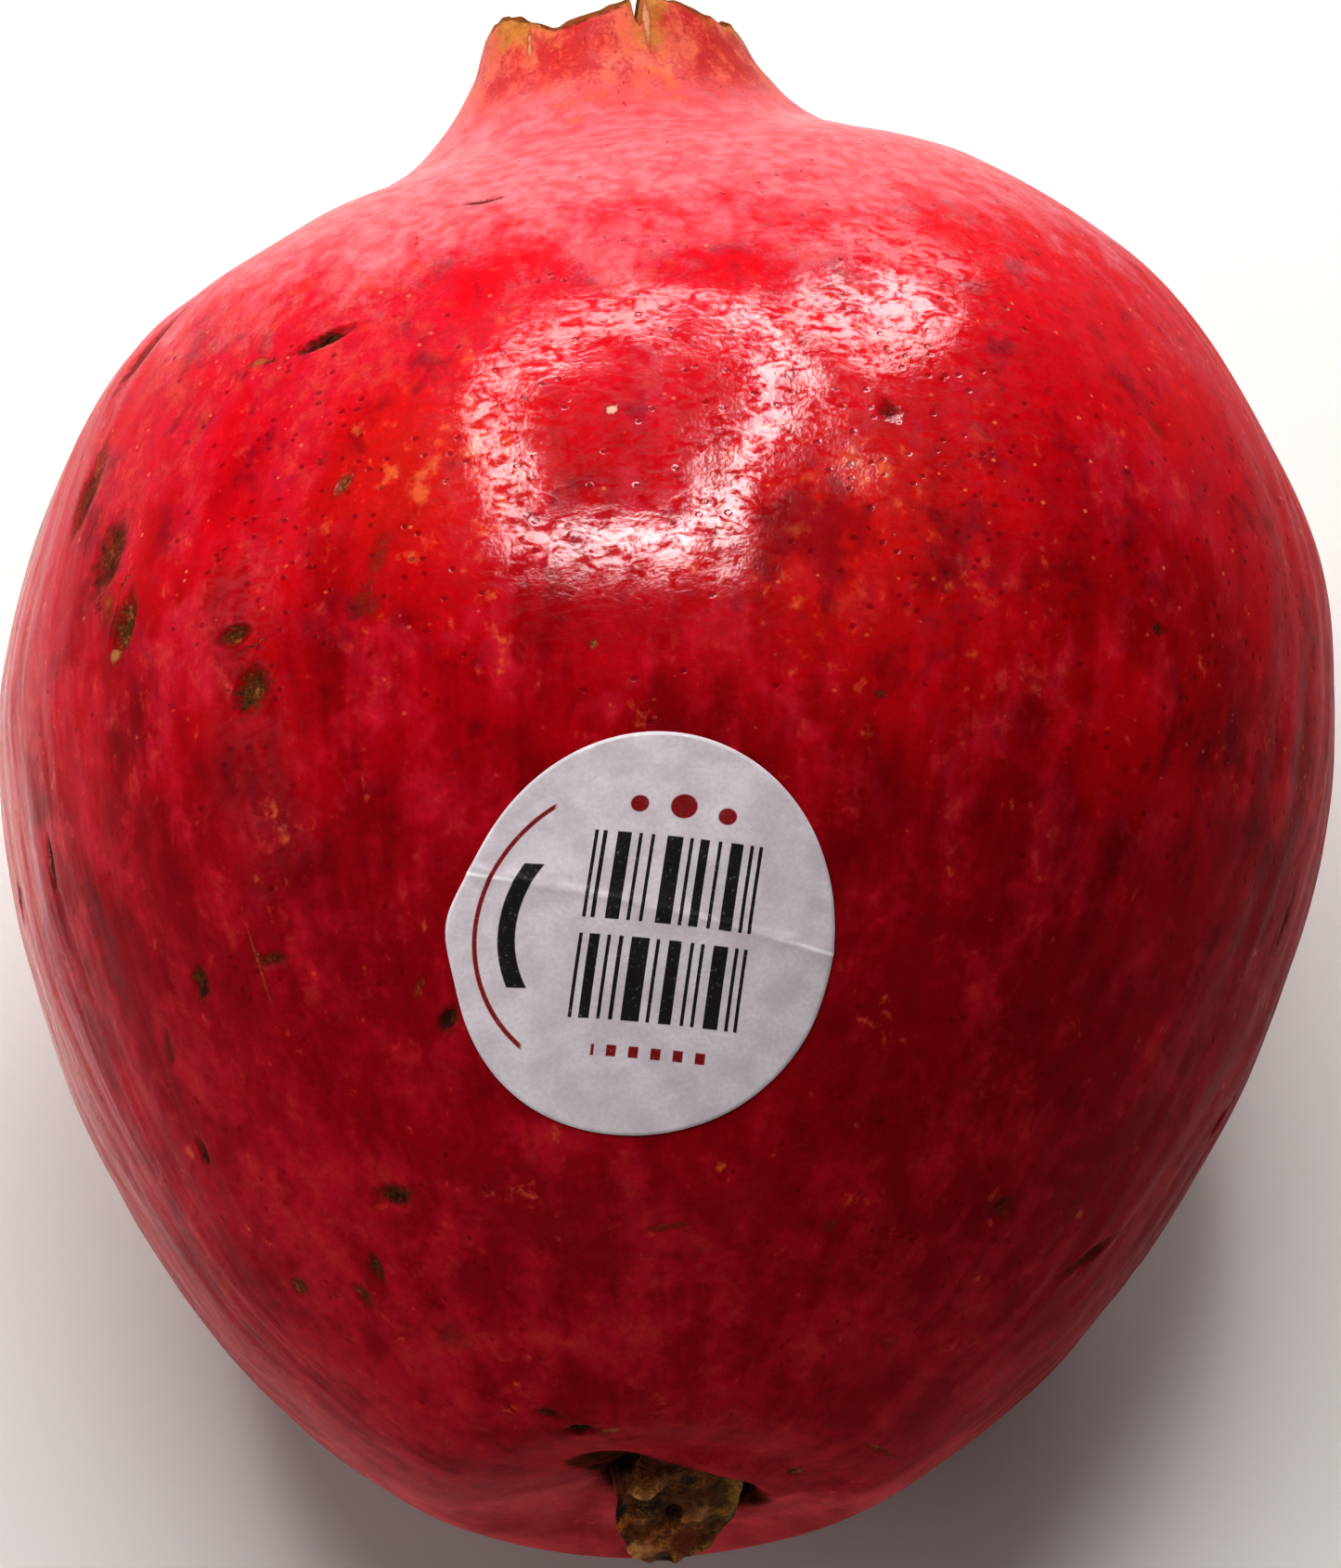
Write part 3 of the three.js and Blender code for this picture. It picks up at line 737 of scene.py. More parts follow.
def makeRindMaterial():
    material, tree, shader = newMaterial("rindSkin", {"Coat Roughness": 0.15, "Coat IOR": 1.85, "IOR": 1.1})
    colour = {name: paint(*value) for name, value in rindColours.items()}
    local = addNode(tree, "Mapping", {
        "Vector": addNode(tree, "TexCoord").outputs["Object"],
        "Location": tuple(fruitMiddle * mm),
        "Rotation": (math.radians(fruit["lyingAngle"]), 0, 0),
        "Scale": (mm, mm, mm),
    }, vector_type="TEXTURE").outputs["Vector"]
    lay = attribute(tree, "lay")
    layX, layRun, layZ = split(lay)
    rosyAndSheen, amber, plum = split(attribute(tree, "tint"))
    markU, markV, markTone = split(attribute(tree, "markPlace"))
    markNear, poreShare, _ = split(attribute(tree, "shares"))
    inCup, fromRim, pitDepth = split(attribute(tree, "ends"))
    polish, height, _ = split(attribute(tree, "wear"))

    large = clouds(local, 0.05, 2, 0.5)
    broadA, broadB, broadC = threeClouds(stretched(local, 1, 0.7, 1, 20), 0.22, 3, 0.5, 0.3)
    smallA, smallB, smallC = threeClouds(stretched(local, 1, 0.8, 1, 40), 0.8, 2.5, 0.55, 0.2)
    fine = clouds(local, 3.2, 3, 0.6)
    streaks = clouds(stretched(lay, 1, 0.12, 1), 0.36, 3, 0.55)
    threads = clouds(stretched(lay, 1, 0.1, 1, 30), 1.1, 3, 0.6)

    def coat(share, name):
        nonlocal skin
        skin = layer(share, skin, colour[name])

    # reds in soft lengthwise bands; the brighter red towards the crown and darker red towards the stem are
    # partly the skin's own colour, partly painted light on the crown side and painted shade on the stem side
    redMix = weighted((large, 0.4), (streaks, 0.3), (broadA, 0.3))
    skin = layer(fade(redMix, 0.42, 0.58), colour["deep"], colour["bright"])
    coat(fade(height, -14, 30, 0, 0.85), "scarletWithPaintedLight")
    coat(fade(height, -4, -30, 0, 0.6), "wineWithPaintedShade")
    # soft rose patches, then small salmon spots; along the left edge and round the crown's foot their pink
    # also paints sheen
    blush = weighted((broadB, 0.5), (streaks, 0.2), (smallA, 0.3), (rosyAndSheen, 0.15))
    coat(fade(blush, 0.47, 0.66, 0, 0.85), "rose")
    spots = weighted((smallB, 0.5), (broadB, 0.4), (fine, 0.1), (rosyAndSheen, 0.11))
    coat(fade(spots, 0.55, 0.71, 0, 0.5), "salmon")
    # paler and pinker round the foot of the crown and more so on the upper side: partly the skin's own blush,
    # partly painted sheen; duller towards the stem
    blushAndSheenReach = weighted((height, 0.1), (broadB, 2.6), (smallA, 1.8), (fine, 0.5), (rosyAndSheen, 0.55))
    pale = times(fade(blushAndSheenReach, 5, 6.5, 0, 0.85), fade(layZ, -18, 8, 0.5, 1))
    skin = layer(pale, skin, layer(fade(smallC, 0.32, 0.68), colour["blush"], colour["coral"]))
    coat(fade(height, -4, -32, 0, 0.5), "lowRed")
    # orange and amber mottles, plum clouds
    coat(times(amber, 0.65, True), "ember")
    amberReach = weighted((smallC, 0.55), (broadC, 0.35), (fine, 0.1), (amber, 0.12))
    coat(fade(amberReach, 0.6, 0.73, 0, 0.6), "amber")
    plumReach = weighted((smallA, 0.4), (broadA, -0.6), (plum, 0.12))
    plumKeep = times(fade(height, 38, 24, 0.3, 1), fade(height, -10, -30, 1, 0.55))
    coat(times(fade(plumReach, -0.06, 0.08, 0, 0.45), plumKeep), "plum")
    # the crown is duller and more orange, with red and tan patches
    onCrown = fade(weighted((fromRim, 1), (broadC, 5)), 6.5, 12.5, 1, 0)
    crownTone = weighted((broadA, 0.5), (smallC, 0.35), (fine, 0.15))
    coat(times(onCrown, fade(crownTone, 0.4, 0.6, 0.35, 0.85)), "crown")
    redReach = minus(crownTone, times(plum, 0.12))
    redShare = times(fade(fromRim, 5, 10, 1, 0), fade(redReach, 0.53, 0.39))
    coat(times(redShare, 0.7), "crownRed")
    tanReach = weighted((amber, 0.7), (smallA, 1.6), (fromRim, -0.1), shift=-0.55)
    coat(times(onCrown, fade(tanReach, 0.2, 1.1, 0, 0.8)), "crownTan")
    # painted bounce light: the underside next to the stem is made lighter, as light thrown up from the floor
    # would
    paintedBounceShare = times(fade(height, -46, -53.5), fade(layZ, 0, -9))
    coat(times(paintedBounceShare, fade(broadB, 0.3, 0.6, 0.25, 0.6)), "coral")
    # grain of the colour
    shade = fade(weighted((fine, 0.5), (smallC, 0.5)), 0.3, 0.7, 0.88, 1.12)
    grey = addNode(tree, "CombineColor", {0: shade, 1: shade, 2: shade}).outputs[0]
    skin = layer(1, skin, grey, "MULTIPLY")

    # pale specks and crowds of dark pores, on the unrolled skin
    girth = times(maths("ARCTAN2", layX, layZ), fruit["fleckRadius"])
    unrolled = addNode(tree, "CombineXYZ", {0: girth, 1: layRun}).outputs[0]
    speck, _ = flecks(unrolled, 0.4, (0.4, 1, 0, 0.075), (-0.01, 0.04))
    speck = times(speck, fade(weighted((height, 0.02), (smallA, 1)), 0.1, 0.8, 0, 0.75))
    coat(speck, "speck")
    swells = clouds(stretched(local, 0.8, 1, 0.8, 60), 0.3, 1)
    pore, chance = flecks(unrolled, 0.85, (0, 0.8, 0.19, 0.08), (-0.06, 0.07))
    crowd = weighted((poreShare, 0.6), (swells, 0.6), shift=-0.28)
    pore = times(pore, maths("LESS_THAN", chance, crowd))
    coat(times(pore, 0.5), "pore")

    # marks: a ragged, mottled core in a soft reddish brown rim
    warp = clouds(local, 1.3, 3, 0.65)
    markFlat = addNode(tree, "CombineXYZ", {0: markU, 1: markV}).outputs[0]
    far = addNode(tree, "VectorMath", {0: markFlat}, operation="LENGTH").outputs["Value"]
    far = plus(far, times(minus(warp, 0.5), 2))
    core = times(fade(far, 0.4, 1.15, 1, 0), markNear)
    halo = times(fade(far, 0.8, 1.55, 1, 0), markNear)
    toneMix = weighted((markTone, 1), (fine, 1.5), (smallA, 1.2), (markV, -0.15), shift=-1.3)
    markColour = layer(fade(toneMix, 0, 0.5), colour["markTan"], colour["markBrown"])
    markColour = layer(fade(toneMix, 0.5, 1), markColour, colour["markBlack"])
    markColour = layer(fade(markTone, -0.1, -0.5), markColour, colour["markPale"])
    coat(times(halo, 0.6), "markRim")
    skin = layer(core, skin, markColour)

    # the dried cut edge of the crown, the cup inside it and the stem pit
    rimNoise = times(warp, 1.2)
    edge = fade(minus(fromRim, rimNoise), -0.55, 0, 1, 0)
    cutMix = weighted((smallB, 0.6), (fine, 0.4), (amber, 0.08))
    cut = layer(fade(cutMix, 0.42, 0.68), colour["cutEdge"], colour["cutPale"])
    skin = layer(times(edge, 0.85), skin, cut)
    cupMix = weighted((smallB, 0.5), (fine, 0.5))
    cup = layer(fade(cupMix, 0.34, 0.66), colour["cup"], colour["cutEdge"])
    skin = layer(fade(inCup, 0.2, 0.8), skin, cup)
    # the pit's brown, which on the upper left of the lip is partly painted shade
    pitShare = fade(plus(pitDepth, rimNoise), 4.3, 6)
    pit = layer(fade(smallB, 0.4, 0.6), colour["pit"], colour["pitDark"])
    skin = layer(pitShare, skin, pit)
    feed(shader.inputs["Base Color"], skin)
    dry = most(most(core, edge), most(inCup, pitShare))
    roughness = fade(smallB, 0.3, 0.7, 0.34, 0.44)
    feed(shader.inputs["Roughness"], plus(roughness, times(dry, 0.4), True))

    # the wax is rubbed off in smears that run round the fruit, and lengthwise at its sides
    smears = clouds(stretched(local, 0.65, 1.25, 0.65, 80), 0.85, 3.5, 0.64, 1.1)
    grains = clouds(local, 2, 3, 0.7, 0.2)
    upper = fade(maths("ABSOLUTE", layX), 26, 36, 1, 0)
    rubbed = fade(weighted((smears, 0.7), (grains, 0.3)), 0.4, 0.56, 0.04, 1)
    rubbedLong = fade(weighted((threads, 0.7), (grains, 0.3)), 0.32, 0.66, 0.2, 0.9)
    wax = times(polish, addNode(tree, "Mix", {0: upper, 2: rubbedLong, 3: rubbed}).outputs[0])
    feed(shader.inputs["Coat Weight"], times(wax, minus(1, dry, True)))

    grain = clouds(local, 3.2, 2, 0.6)
    flakes = clouds(local, 1.8, 2, 0.6)
    rough = times(weighted((smears, 0.015), (flakes, 0.013), (swells, 0.06)), upper)
    relief = weighted((rough, 1), (grain, 0.007), (threads, 0.006), (pore, -0.02), (core, -0.08),
                      (times(dry, fine), 0.1))
    addRelief(shader, relief, "Coat Normal")
    return material


growFruit(makeRindMaterial())


def makeDriedFibre():
    # colour and relief of dry plant fibre that runs along Z of the place given, in mm
    group = bpy.data.node_groups.new("driedFibre", "ShaderNodeTree")
    for name, side, kind in (("Place", "INPUT", "Vector"), ("Dark", "INPUT", "Color"),
                             ("Light", "INPUT", "Color"), ("Width", "INPUT", "Float"),
                             ("Colour", "OUTPUT", "Color"), ("Relief", "OUTPUT", "Float")):
        group.interface.new_socket(name=name, in_out=side, socket_type="NodeSocket" + kind)
    entry = group.nodes.new("NodeGroupInput").outputs
    leave = group.nodes.new("NodeGroupOutput").inputs
    scale = maths("DIVIDE", 1, entry["Width"])
    strands = clouds(stretched(entry["Place"], 1, 1, 0.16), scale, 3, 0.6, 0.4)
    stains = clouds(entry["Place"], times(scale, 0.35), 3, 0.6)
    both = weighted((strands, 0.6), (stains, 0.4))
    feed(leave["Colour"], layer(fade(both, 0.36, 0.64), entry["Dark"], entry["Light"]))
    feed(leave["Relief"], both)
    return group


driedFibre = makeDriedFibre()


def placeFibre(tree, tilt, dark, light, width):
    # the object's place in mm, turned so that Z runs along the piece, and the fibre on it
    inputs = {"Vector": addNode(tree, "TexCoord").outputs["Object"], "Scale": (1 / mm, 1 / mm, 1 / mm),
              "Rotation": (math.radians(tilt), 0, 0)}
    place = addNode(tree, "Mapping", inputs).outputs["Vector"]
    made = tree.nodes.new("ShaderNodeGroup")
    made.node_tree = driedFibre
    for name, value in {"Place": place, "Dark": paint(*dark), "Light": paint(*light), "Width": width}.items():
        feed(made.inputs[name], value)
    return place, made.outputs["Colour"], made.outputs["Relief"]


stub = {
    "offset": 1,
    "base": -50.4,
    "tip": -57,  # mean height of the broken end
    "radius": 4.25,
    "neck": 5.25,  # radius at the base
    "slope": 0.65,  # how much the broken end faces up
    "slopeAngle": 28,  # and to the right
    "around": 120,
    "rings": 36,  # rings on the side and on the end
    "barkRough": 0.16,
    "endRough": 0.2,
    "endBulge": 0.35,
    # the shaded entry paints the shade that the pit's lip throws on the stem, over its own dark bark, then
    # gives its shares of dark, rust and tan
    "shaded": (-34, 42, (1.4, 0.5, 0)),  # angle and half width in degrees of the dark side
    "fibreTilt": -83,  # degrees from upright to the way the fibres run
    "fibreWidth": 0.7,
    "bark": (66, 28, 4),
    "barkLight": (170, 100, 30),
    "olive": (132, 104, 26),
    "torn": (236, 176, 92),
    "tan": (226, 164, 98),
    "brown": (74, 34, 10),
    "rust": (116, 50, 14),
    "dark": (44, 20, 8),
    # on the broken end, seen along the stem: right, up, radius in mm, depth, then shares of dark,
    # rust and tan
    "spots": [
        (-0.5, -0.6, 0.75, 1, 1, 0, 0),  # pith hole
        (-2.2, 0.9, 1.7, 0.35, 0.75, 0.35, 0),  # brown hollow beside it
        (-2.6, -0.2, 0.35, -0.2, 0, 0, 1),
        (0.3, -2.9, 1.5, 0.2, 0.15, 0.95, 0),
        (-2.9, -2.3, 1.2, -0.15, 0, 0, 0.8),
        (1.4, -0.6, 1.1, -0.2, 0, 0, 0.8),
        (0.7, 1.8, 0.9, 0.35, 0.55, 0.35, 0),
        (-0.9, -4, 0.5, 0.3, 0.9, 0, 0),
        (2.3, -3, 0.4, 0.25, 0.8, 0, 0),
        (-4.2, 0.6, 0.55, 0.5, 1, 0, 0),
        # its dark share is partly painted shade under the pit's lip
        (-3, 4.1, 1.4, 1.7, 0.9, 0.5, 0),  # hollow behind the bark ridge
        (-2.2, 3.1, 0.7, 0.6, 0, 1, 0),
        (-4.1, 3.4, 0.5, -0.6, 0, 0, 0.8),  # the ridge itself
        (-3.6, 2.7, 0.5, -0.7, 0, 0, 0.9),
        (-2.9, 2.2, 0.5, -0.7, 0, 0, 1),
        (-2.1, 2, 0.5, -0.65, 0, 0, 1),
        (-1.4, 2.4, 0.5, -0.5, 0, 0, 0.9),
        (-1, 3, 0.4, -0.4, 0, 0, 0.6),
        (3, 1.2, 1, 0.15, 0.3, 0.2, 0.2),
        (1.4, 3.6, 1.2, 0.4, 0.5, 0.5, 0),
    ],
}


def makeStubMaterial():
    material, tree, shader = newMaterial("brokenStem", {"Roughness": 0.4, "Specular IOR Level": 0.22})
    place, colour, relief = placeFibre(tree, stub["fibreTilt"], stub["bark"], stub["barkLight"],
                                       stub["fibreWidth"])
    # dark, rust and tan colours of the stem; the dark one also carries painted shade under the pit's lip
    dark, rust, tan = split(attribute(tree, "stainAndShade"))
    hollow, rightward, _ = split(attribute(tree, "torn"))
    rough = clouds(place, 1.5, 4, 0.65)
    fine = clouds(place, 4.5, 3, 0.65)
    shift = weighted((rough, 0.8), (fine, 0.4), shift=-0.6)

    def ragged(share, strength):
        return fade(plus(times(share, strength), shift), 0.2, 0.75)

    oliveShare = fade(weighted((rough, 0.8), (rightward, 0.35), shift=0.02), 0.5, 0.7, 0, 0.6)
    tornShare = fade(weighted((hollow, 0.25), (fine, 0.5)), 0.2, 0.32, 0.3, 0)
    brownShare = fade(weighted((hollow, 0.5), (fine, 0.5)), 0.34, 0.56, 0, 0.6)
    for share, name in ((oliveShare, "olive"), (tornShare, "torn"), (ragged(tan, 0.8), "tan"),
                        (brownShare, "brown"), (ragged(rust, 0.8), "rust"), (ragged(dark, 0.9), "dark")):
        colour = layer(share, colour, paint(*stub[name]))
    feed(shader.inputs["Base Color"], colour)
    addRelief(shader, weighted((relief, 0.3), (fine, 0.12)))
    return material


def growStub(material):
    count = stub["rings"]
    profile = [(stub["base"], 0)]
    for step in range(count + 1):
        share = step / count
        radius = stub["neck"] + (stub["radius"] - stub["neck"]) * smoothStep(share, 0.1, 0.8)
        profile.append((stub["base"] + (stub["tip"] - stub["base"]) * share, float(radius)))
    for step in range(1, count + 1):
        share = step / count
        bulge = stub["endBulge"] * math.sin(share * math.pi / 2)
        profile.append((stub["tip"] - bulge, stub["radius"] * (1 - share)))
    bm = turnedMesh(profile, stub["around"])
    mesh = addPiece("stemStub", bm, material, "stem_stub").data
    start = readPlaces(mesh)
    angle, radius = roundAxis(start)
    height = start[:, 1]
    right = radius * np.sin(angle)
    up = radius * np.cos(angle)
    # bark furrows, then a torn end with its spots
    furrow = noiseAt(np.stack([5 * np.sin(angle), height * 0.25, 5 * np.cos(angle)], -1), 1.1, 2)
    knots = noiseAt(start, 1.6, 9)
    side = smoothStep(radius, 0.5 * stub["radius"], 0.9 * stub["radius"])
    shapedRadius = radius * (1 + side * stub["barkRough"] * (0.35 * furrow + 0.5 * knots))
    torn = noiseAt(start * np.array([1, 0.2, 1]), 1.6, 4) + 0.35 * noiseAt(start, 0.6, 6)
    torn = torn + 0.15 * noiseAt(start, 0.3, 3)
    slope = stub["slope"] * radius * np.cos(angleApart(angle, stub["slopeAngle"]))
    atEnd = smoothStep(-height, -stub["base"] + 1.5, -stub["tip"] - 0.5)
    shapedHeight = height + atEnd * (slope + 2 * stub["endRough"] * torn)
    face = smoothStep(-height, -stub["tip"] - 2.2, -stub["tip"])
    # painted shade under the pit's lip, on top of the stem's own dark bark
    middle, half, shares = stub["shaded"]
    shaded = bell(angle, middle, half) * smoothStep(height, -56.4, -55)
    stainAndShade = shaded[:, None] * np.array(shares)
    for spotRight, spotUp, spotRadius, depth, *shares in stub["spots"]:
        near = np.exp(-(np.hypot(right - spotRight, up - spotUp) / spotRadius) ** 2) * face
        shapedHeight = shapedHeight + depth * near
        stainAndShade = np.maximum(stainAndShade, near[:, None] * np.array(shares))
    writePlaces(mesh, layDown(shapedHeight, shapedRadius, stub["offset"], 0, angle))
    writeVector(mesh, "stainAndShade", *stainAndShade.T)
    writeVector(mesh, "torn", np.clip(0.5 + torn, 0, 1), np.clip(right / stub["radius"], -1, 1), 0 * right)


growStub(makeStubMaterial())


heart = {  # what has dried in the crown's cup
    "offset": -3.65,
    "rise": 0.05,
    "floor": 38.4,
    "stamens": 84,
    "seed": 5,
    "stamenTurn": 2.39996,  # radians from one stamen to the next, so that they spread evenly
    "inner": 1.7,
    "outer": 4.2,
    "wall": 5.4,  # no stamen leans out further
    "shortest": 3.2,
    "longest": 5.4,
    "threadRadius": 0.11,
    "antherLength": 0.75,
    "antherRadius": 0.3,
    "styleRadius": 0.85,
    "styleTip": 44.6,
    "fibreTilt": -113,
}


def makeThreadMaterial(name, dark, light, width):
    material, tree, shader = newMaterial(name, {"Roughness": 0.8, "Specular IOR Level": 0.3})
    _, colour, relief = placeFibre(tree, heart["fibreTilt"], dark, light, width)
    feed(shader.inputs["Base Color"], colour)
    addRelief(shader, times(relief, 0.08))
    return material


def inCrown(mesh, places):
    # from (right, height, up) round the crown's own axis to the lying fruit
    angle, radius = roundAxis(places)
    writePlaces(mesh, layDown(places[:, 1], radius, heart["offset"], heart["rise"], angle))


def growStamens(material):
    dice = random.Random(heart["seed"])
    noise.seed_set(heart["seed"])
    bm = bmesh.new()
    for index in range(heart["stamens"]):
        around = index * heart["stamenTurn"]
        reach = heart["inner"] + (heart["outer"] - heart["inner"]) * math.sqrt(dice.random())
        length = dice.uniform(heart["shortest"], heart["longest"])
        thick = heart["threadRadius"] * dice.uniform(0.8, 1.2)
        leanOut = dice.uniform(0.05, 0.3)
        curl = dice.uniform(-0.5, 0.9)
        twist = dice.uniform(-0.7, 0.7)

        def along(share):
            out = reach + length * (leanOut * share + 0.35 * curl * share ** 2 * (1 - share))
            out = min(out, heart["wall"])
            turn = around + twist * share ** 2 * 0.35
            return Vector((out * math.sin(turn), heart["floor"] + length * share, out * math.cos(turn)))

        centre = along(0)
        upright = Matrix.Translation(centre) @ Matrix.Rotation(math.radians(-90), 4, "X")
        tube = bmesh.ops.create_cone(bm, cap_ends=True, segments=5, radius1=thick, radius2=thick, depth=0.1,
                                     matrix=upright)
        top = max({face for vertex in tube["verts"] for face in vertex.link_faces},
                  key=lambda face: face.calc_center_median().y)
        for step in range(1, 7):
            following = along(step / 6)
            top = bmesh.ops.extrude_discrete_faces(bm, faces=[top])["faces"][0]
            bmesh.ops.translate(bm, verts=top.verts, vec=following - centre)
            centre = following
        # the anther at its tip, a small bent bean
        spin = Matrix.Rotation(dice.uniform(0, math.tau), 4, "Y")
        spin = spin @ Matrix.Rotation(dice.uniform(0.4, 1.3), 4, "X")
        size = Matrix.Diagonal((heart["antherRadius"], heart["antherRadius"] * 0.7,
                                heart["antherLength"] * 0.6, 1))
        bean = bmesh.ops.create_icosphere(bm, subdivisions=1, radius=1,
                                          matrix=Matrix.Translation(along(1)) @ spin @ size)
        for vertex in bean["verts"]:
            vertex.co += 0.12 * noise.noise_vector(vertex.co * 2)
    bmesh.ops.recalc_face_normals(bm, faces=bm.faces)
    mesh = addPiece("stamenThreads", bm, material, "stamens").data
    inCrown(mesh, readPlaces(mesh))


def growStyle(material):
    low = heart["floor"] - 0.2
    high = heart["styleTip"]
    thick = heart["styleRadius"]
    count = 32
    profile = [(low, 0)]
    for step in range(count + 1):
        share = step / count
        flare = 1.25 - 0.65 * share + 0.35 * max(share - 0.85, 0) / 0.15
        profile.append((low + (high - low) * share, thick * flare))
    profile += [(high + 0.1, thick * 0.55), (high - 0.15, thick * 0.25), (high - 0.2, 0)]
    bm = turnedMesh(profile, 28)
    mesh = addPiece("styleStalk", bm, material, "style").data
    places = readPlaces(mesh)
    share = (places[:, 1] - low) / (high - low)
    grooves = noiseAt(places * np.array([1, 0.3, 1]), 0.6, 8)
    places[:, [0, 2]] *= (1 + 0.3 * grooves)[:, None]
    places[:, 0] += 0.55 * share ** 2
    places[:, 2] += 0.3 * np.sin(share * 3)
    inCrown(mesh, places)


growStamens(makeThreadMaterial("driedStamen", (88, 50, 22), (176, 128, 70), 0.5))
growStyle(makeThreadMaterial("driedStyle", (70, 42, 22), (150, 104, 60), 0.4))


label = {
    "height": -27.8,  # middle of the sticker on the skin
    "angle": -1,
    "radius": 12.9,
    "tall": 1.175,
    "turn": 6,  # degrees clockwise
    "lift": 0.07,  # over the skin
    "thickness": 0.05,
    "rings": 46,
    "around": 168,
    "tabReach": 0.055,  # the pull tab on the left
    "tabHalfWidth": 11,
    "crease": (2.1, -7.6, 0.42, 0.34),  # height at the middle, slope in degrees, rise, half width
    "folds": [(-4.6, 10.6, -62, 4.8, 0.2), (-6.3, 9.6, -48, 4.2, 0.16), (-8.3, 8, -35, 3.4, 0.14)],
    "foldHalf": 0.35,
    "mapSize": 32,  # mm that the printed map is across
    # two rows of bars, each with its lower left and upper right corner, then the start and the
    # width of each bar in hundredths of the row
    "bars": [((-4.6, 0.9), (7.4, 7.4), [(2, 2), (7, 2), (15, 8), (27, 2), (34, 2), (43, 9), (56, 2),
                                        (62, 5), (72, 2), (79, 7), (90, 2), (95, 2)]),
             ((-4.6, -6.6), (7.4, -0.3), [(2, 2), (8, 6), (18, 2), (25, 2), (32, 10), (46, 2), (53, 7),
                                          (65, 2), (71, 2), (78, 8), (90, 2), (95, 2)])],
    "dots": [(-1.6, 9.6, 0.62), (1.4, 9.7, 0.9), (4.4, 9.3, 0.62)],  # right, up, radius
}


def makePaperMaterial():
    material, tree, shader = newMaterial("pearlPaper", {"Coat Weight": 0.25, "Coat Roughness": 0.2})
    flat = addNode(tree, "UVMap", uv_map="print").outputs["UV"]
    size = label["mapSize"]
    place = addNode(tree, "Mapping", {"Vector": flat, "Location": (-size / 2, -size / 2, 0),
                                      "Scale": (size, size, 1)}).outputs[0]
    x, y, _ = split(place)
    pearl = clouds(place, 0.35, 3, 0.5)
    fibres = clouds(place, 3, 3, 0.6)
    paper = layer(fade(pearl, 0.35, 0.65), paint(199, 189, 193), paint(212, 204, 207))
    paper = layer(fade(fibres, 0.3, 0.7, 0, 0.35), paper, paint(178, 166, 176))
    reach = addNode(tree, "VectorMath", {0: place}, operation="LENGTH").outputs["Value"]

    def band(value, middle, half, soft=0.05):
        return fade(maths("ABSOLUTE", minus(value, middle)), half - soft, half + soft, 1, 0)

    def dot(right, up, radius):
        away = addNode(tree, "VectorMath", {0: place, 1: (right, up, 0)}, operation="DISTANCE")
        return fade(away.outputs["Value"], radius - 0.05, radius + 0.05, 1, 0)

    def bars(low, high, widths):
        share = addNode(tree, "MapRange", {"Value": x, "From Min": low[0], "From Max": high[0]})
        ramp = addNode(tree, "ValToRGB", {"Fac": share.outputs["Result"]})
        ramp.color_ramp.interpolation = "CONSTANT"
        stops = ramp.color_ramp.elements
        stops[1].position = 1
        stops[0].color = stops[1].color = (0, 0, 0, 1)
        for start, width in widths:
            stops.new(start / 100).color = (1, 1, 1, 1)
            stops.new((start + width) / 100).color = (0, 0, 0, 1)
        return times(ramp.outputs["Color"], band(y, (low[1] + high[1]) / 2, (high[1] - low[1]) / 2))

    ink = most(*(bars(*row) for row in label["bars"]))
    # a black arc on the left and dark red marks: a thin ring, discs above and dashes below
    leftward = fade(x, -7.4, -7.1, 1, 0)
    ink = most(ink, times(band(reach, 9.3, 0.6), times(leftward, band(y, 0, 4.6))))
    red = times(band(reach, 11.5, 0.16), leftward)
    for disc in label["dots"]:
        red = most(red, dot(*disc))
    dashes = times(band(y, -8.9, 0.42), band(x, 1.4, 3.9))
    red = most(red, times(dashes, fade(maths("SINE", times(x, 4.2)), 0.1, 0.3)))
    # painted highlight: the crease is made paler towards both ends
    middle, slope = label["crease"][:2]
    line = minus(y, times(x, math.tan(math.radians(slope))))
    pale = times(band(line, middle, 0.12, 0.12), fade(maths("ABSOLUTE", x), 7, 12, 0.1, 1))
    paper = layer(pale, paper, paint(236, 232, 234))
    worn = fade(fibres, 0.28, 0.42, 0.75, 1)
    colour = layer(times(ink, worn), paper, paint(26, 22, 24))
    colour = layer(times(red, worn), colour, paint(130, 12, 22))
    feed(shader.inputs["Base Color"], colour)
    feed(shader.inputs["Roughness"], fade(pearl, 0.3, 0.7, 0.34, 0.48))
    dimples = addNode(tree, "TexVoronoi", {"Vector": place, "Scale": 0.62, "Randomness": 0.35})
    dimples = fade(dimples.outputs["Distance"], 0.2, 0.5)
    addRelief(shader, weighted((dimples, 0.012), (fibres, 0.006), (clouds(place, 0.8, 2), 0.05)))
    return material


def turned(x, y, degrees):
    # along and aside of a line that is turned by so many degrees
    lean = math.radians(degrees)
    return x * math.cos(lean) + y * math.sin(lean), y * math.cos(lean) - x * math.sin(lean)


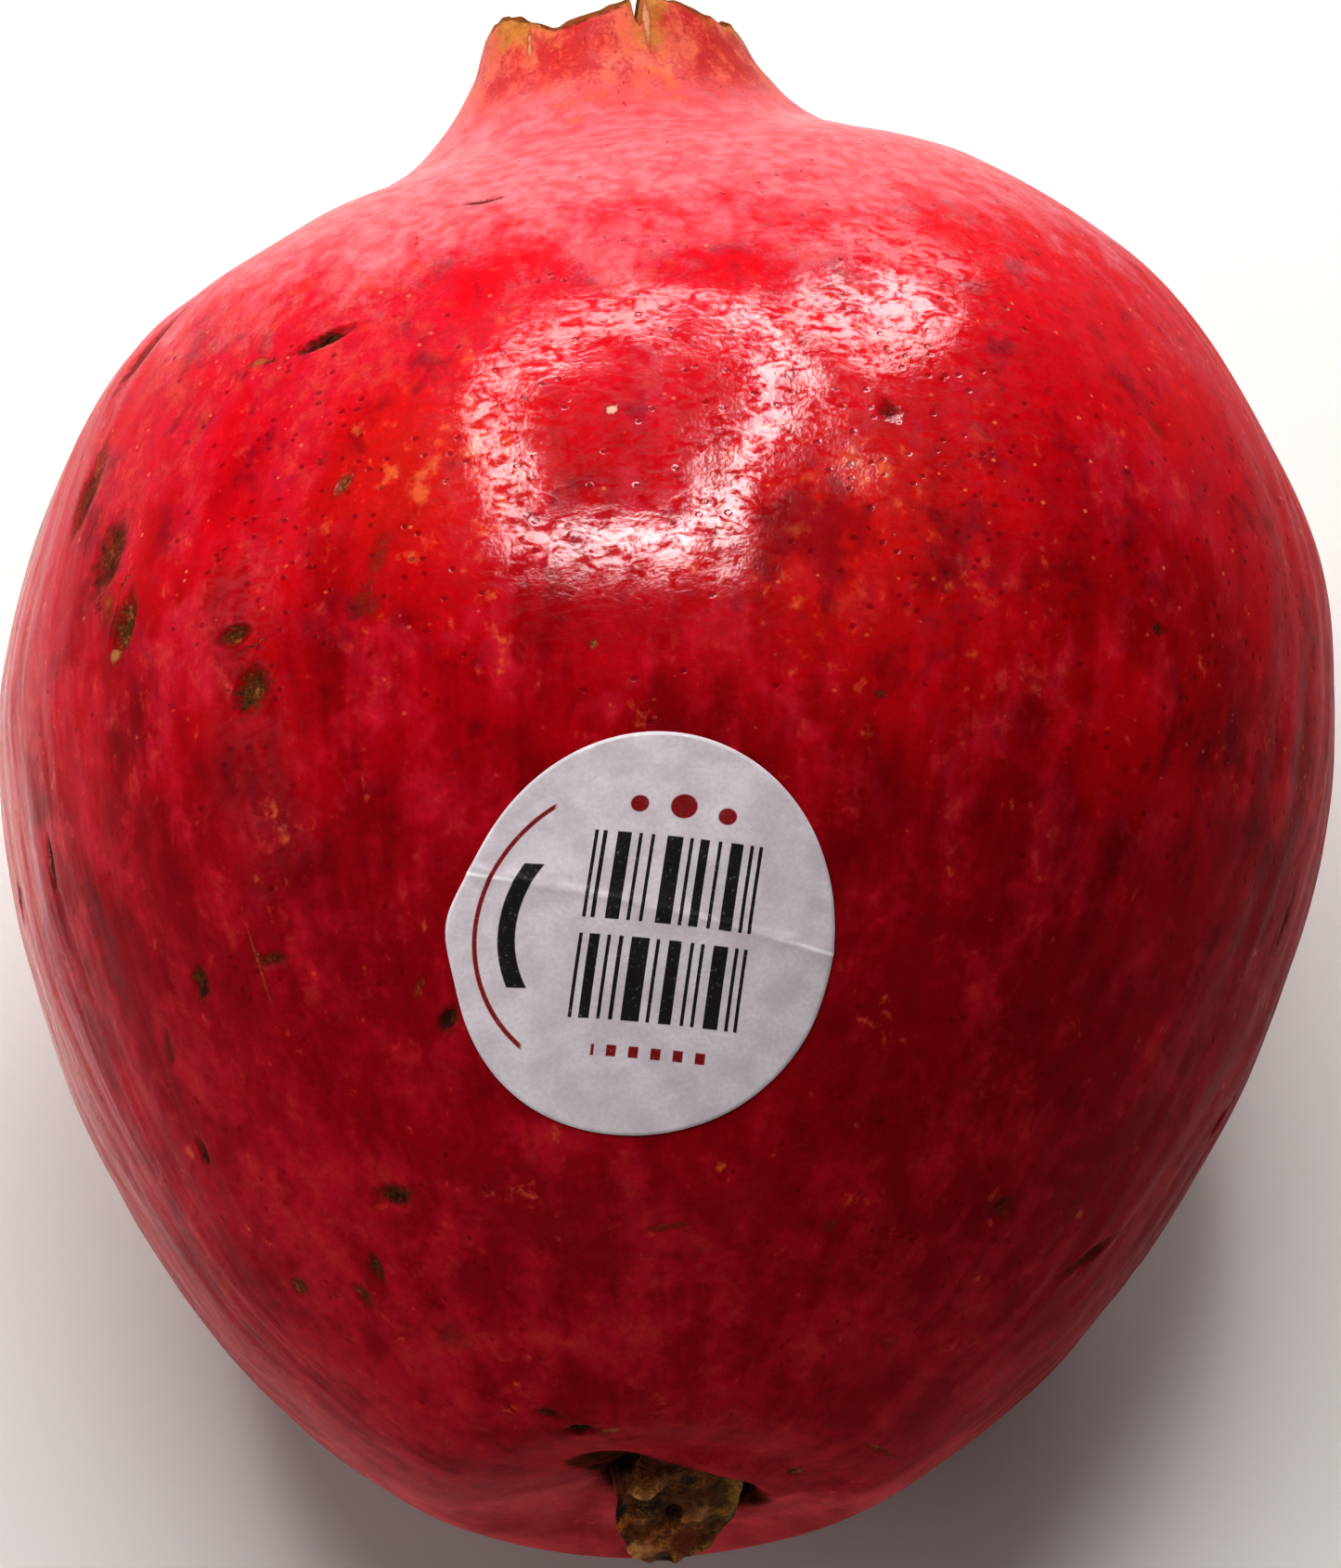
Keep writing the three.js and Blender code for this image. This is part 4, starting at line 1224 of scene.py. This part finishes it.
def makeSticker(material):
    discs = [(0, label["radius"] * step / label["rings"]) for step in range(label["rings"] + 1)]
    bm = turnedMesh(discs, label["around"])
    flatX = bm.verts.layers.float.new("flatX")
    flatY = bm.verts.layers.float.new("flatY")
    uv = bm.loops.layers.uv.new("print")
    for vertex in bm.verts:
        grow = 1 + label["tabReach"] * bell(math.atan2(vertex.co.z, vertex.co.x), 180, label["tabHalfWidth"])
        vertex[flatX] = vertex.co.x * grow
        vertex[flatY] = vertex.co.z * grow * label["tall"]
        vertex.co = (vertex[flatX], vertex[flatY], 0)
    for face in bm.faces:
        for loop in face.loops:
            loop[uv].uv = [loop.vert[flat] / label["mapSize"] + 0.5 for flat in (flatX, flatY)]
    piece = addPiece("fruitSticker", bm, material, "fruit_sticker")
    mesh = piece.data
    printX = readLayer(mesh, "flatX")
    printY = readLayer(mesh, "flatY")
    right, up = turned(printX, printY, label["turn"])
    run = runAt(label["height"]) - up
    height, radius, offset, rise = (np.interp(run, skinRun["runs"], skinRun[name])
                                    for name in ("heights", "radii", "offsets", "rises"))
    angle = math.radians(label["angle"]) + right / radius
    place = skinShape(-height, radius, offset, rise, angle)
    writePlaces(mesh, place)
    outwards = outwardsOf(mesh)
    if outwards[0][2] < 0:
        mesh.flip_normals()
        outwards = -outwards
    move = unevenness(place, radius, angle, run) + label["lift"]
    # the long crease, sharpest at its ends, and the short folds at the upper left
    middle, slope, lift, half = label["crease"]
    _, away = turned(printX, printY - middle, slope)
    ends = 0.35 + 0.65 * smoothStep(np.abs(printX), 5, 13)
    move += lift * ends * np.maximum(1 - np.abs(away) / half, 0) ** 1.3
    move += 0.1 * np.exp(-(away / 1.6) ** 2)
    for foldX, foldY, foldTurn, foldLength, foldRise in label["folds"]:
        along, aside = turned(printX - foldX, printY - foldY, foldTurn)
        share = np.exp(-(along / foldLength * 2) ** 2)
        move += foldRise * share * np.maximum(1 - np.abs(aside) / label["foldHalf"], 0)
    edge = smoothStep(np.hypot(printX, printY / label["tall"]), label["radius"] - 1.2, label["radius"])
    move += 0.06 * edge * (0.5 + noiseAt(np.stack([printX, printY, 0 * printX], -1), 3.5, 2))
    writePlaces(mesh, place + outwards * move[:, None])
    dropLayers(mesh, "flatX", "flatY")
    thick = piece.modifiers.new("paperThickness", "SOLIDIFY")
    thick.thickness = label["thickness"] * mm
    thick.offset = 1


makeSticker(makePaperMaterial())
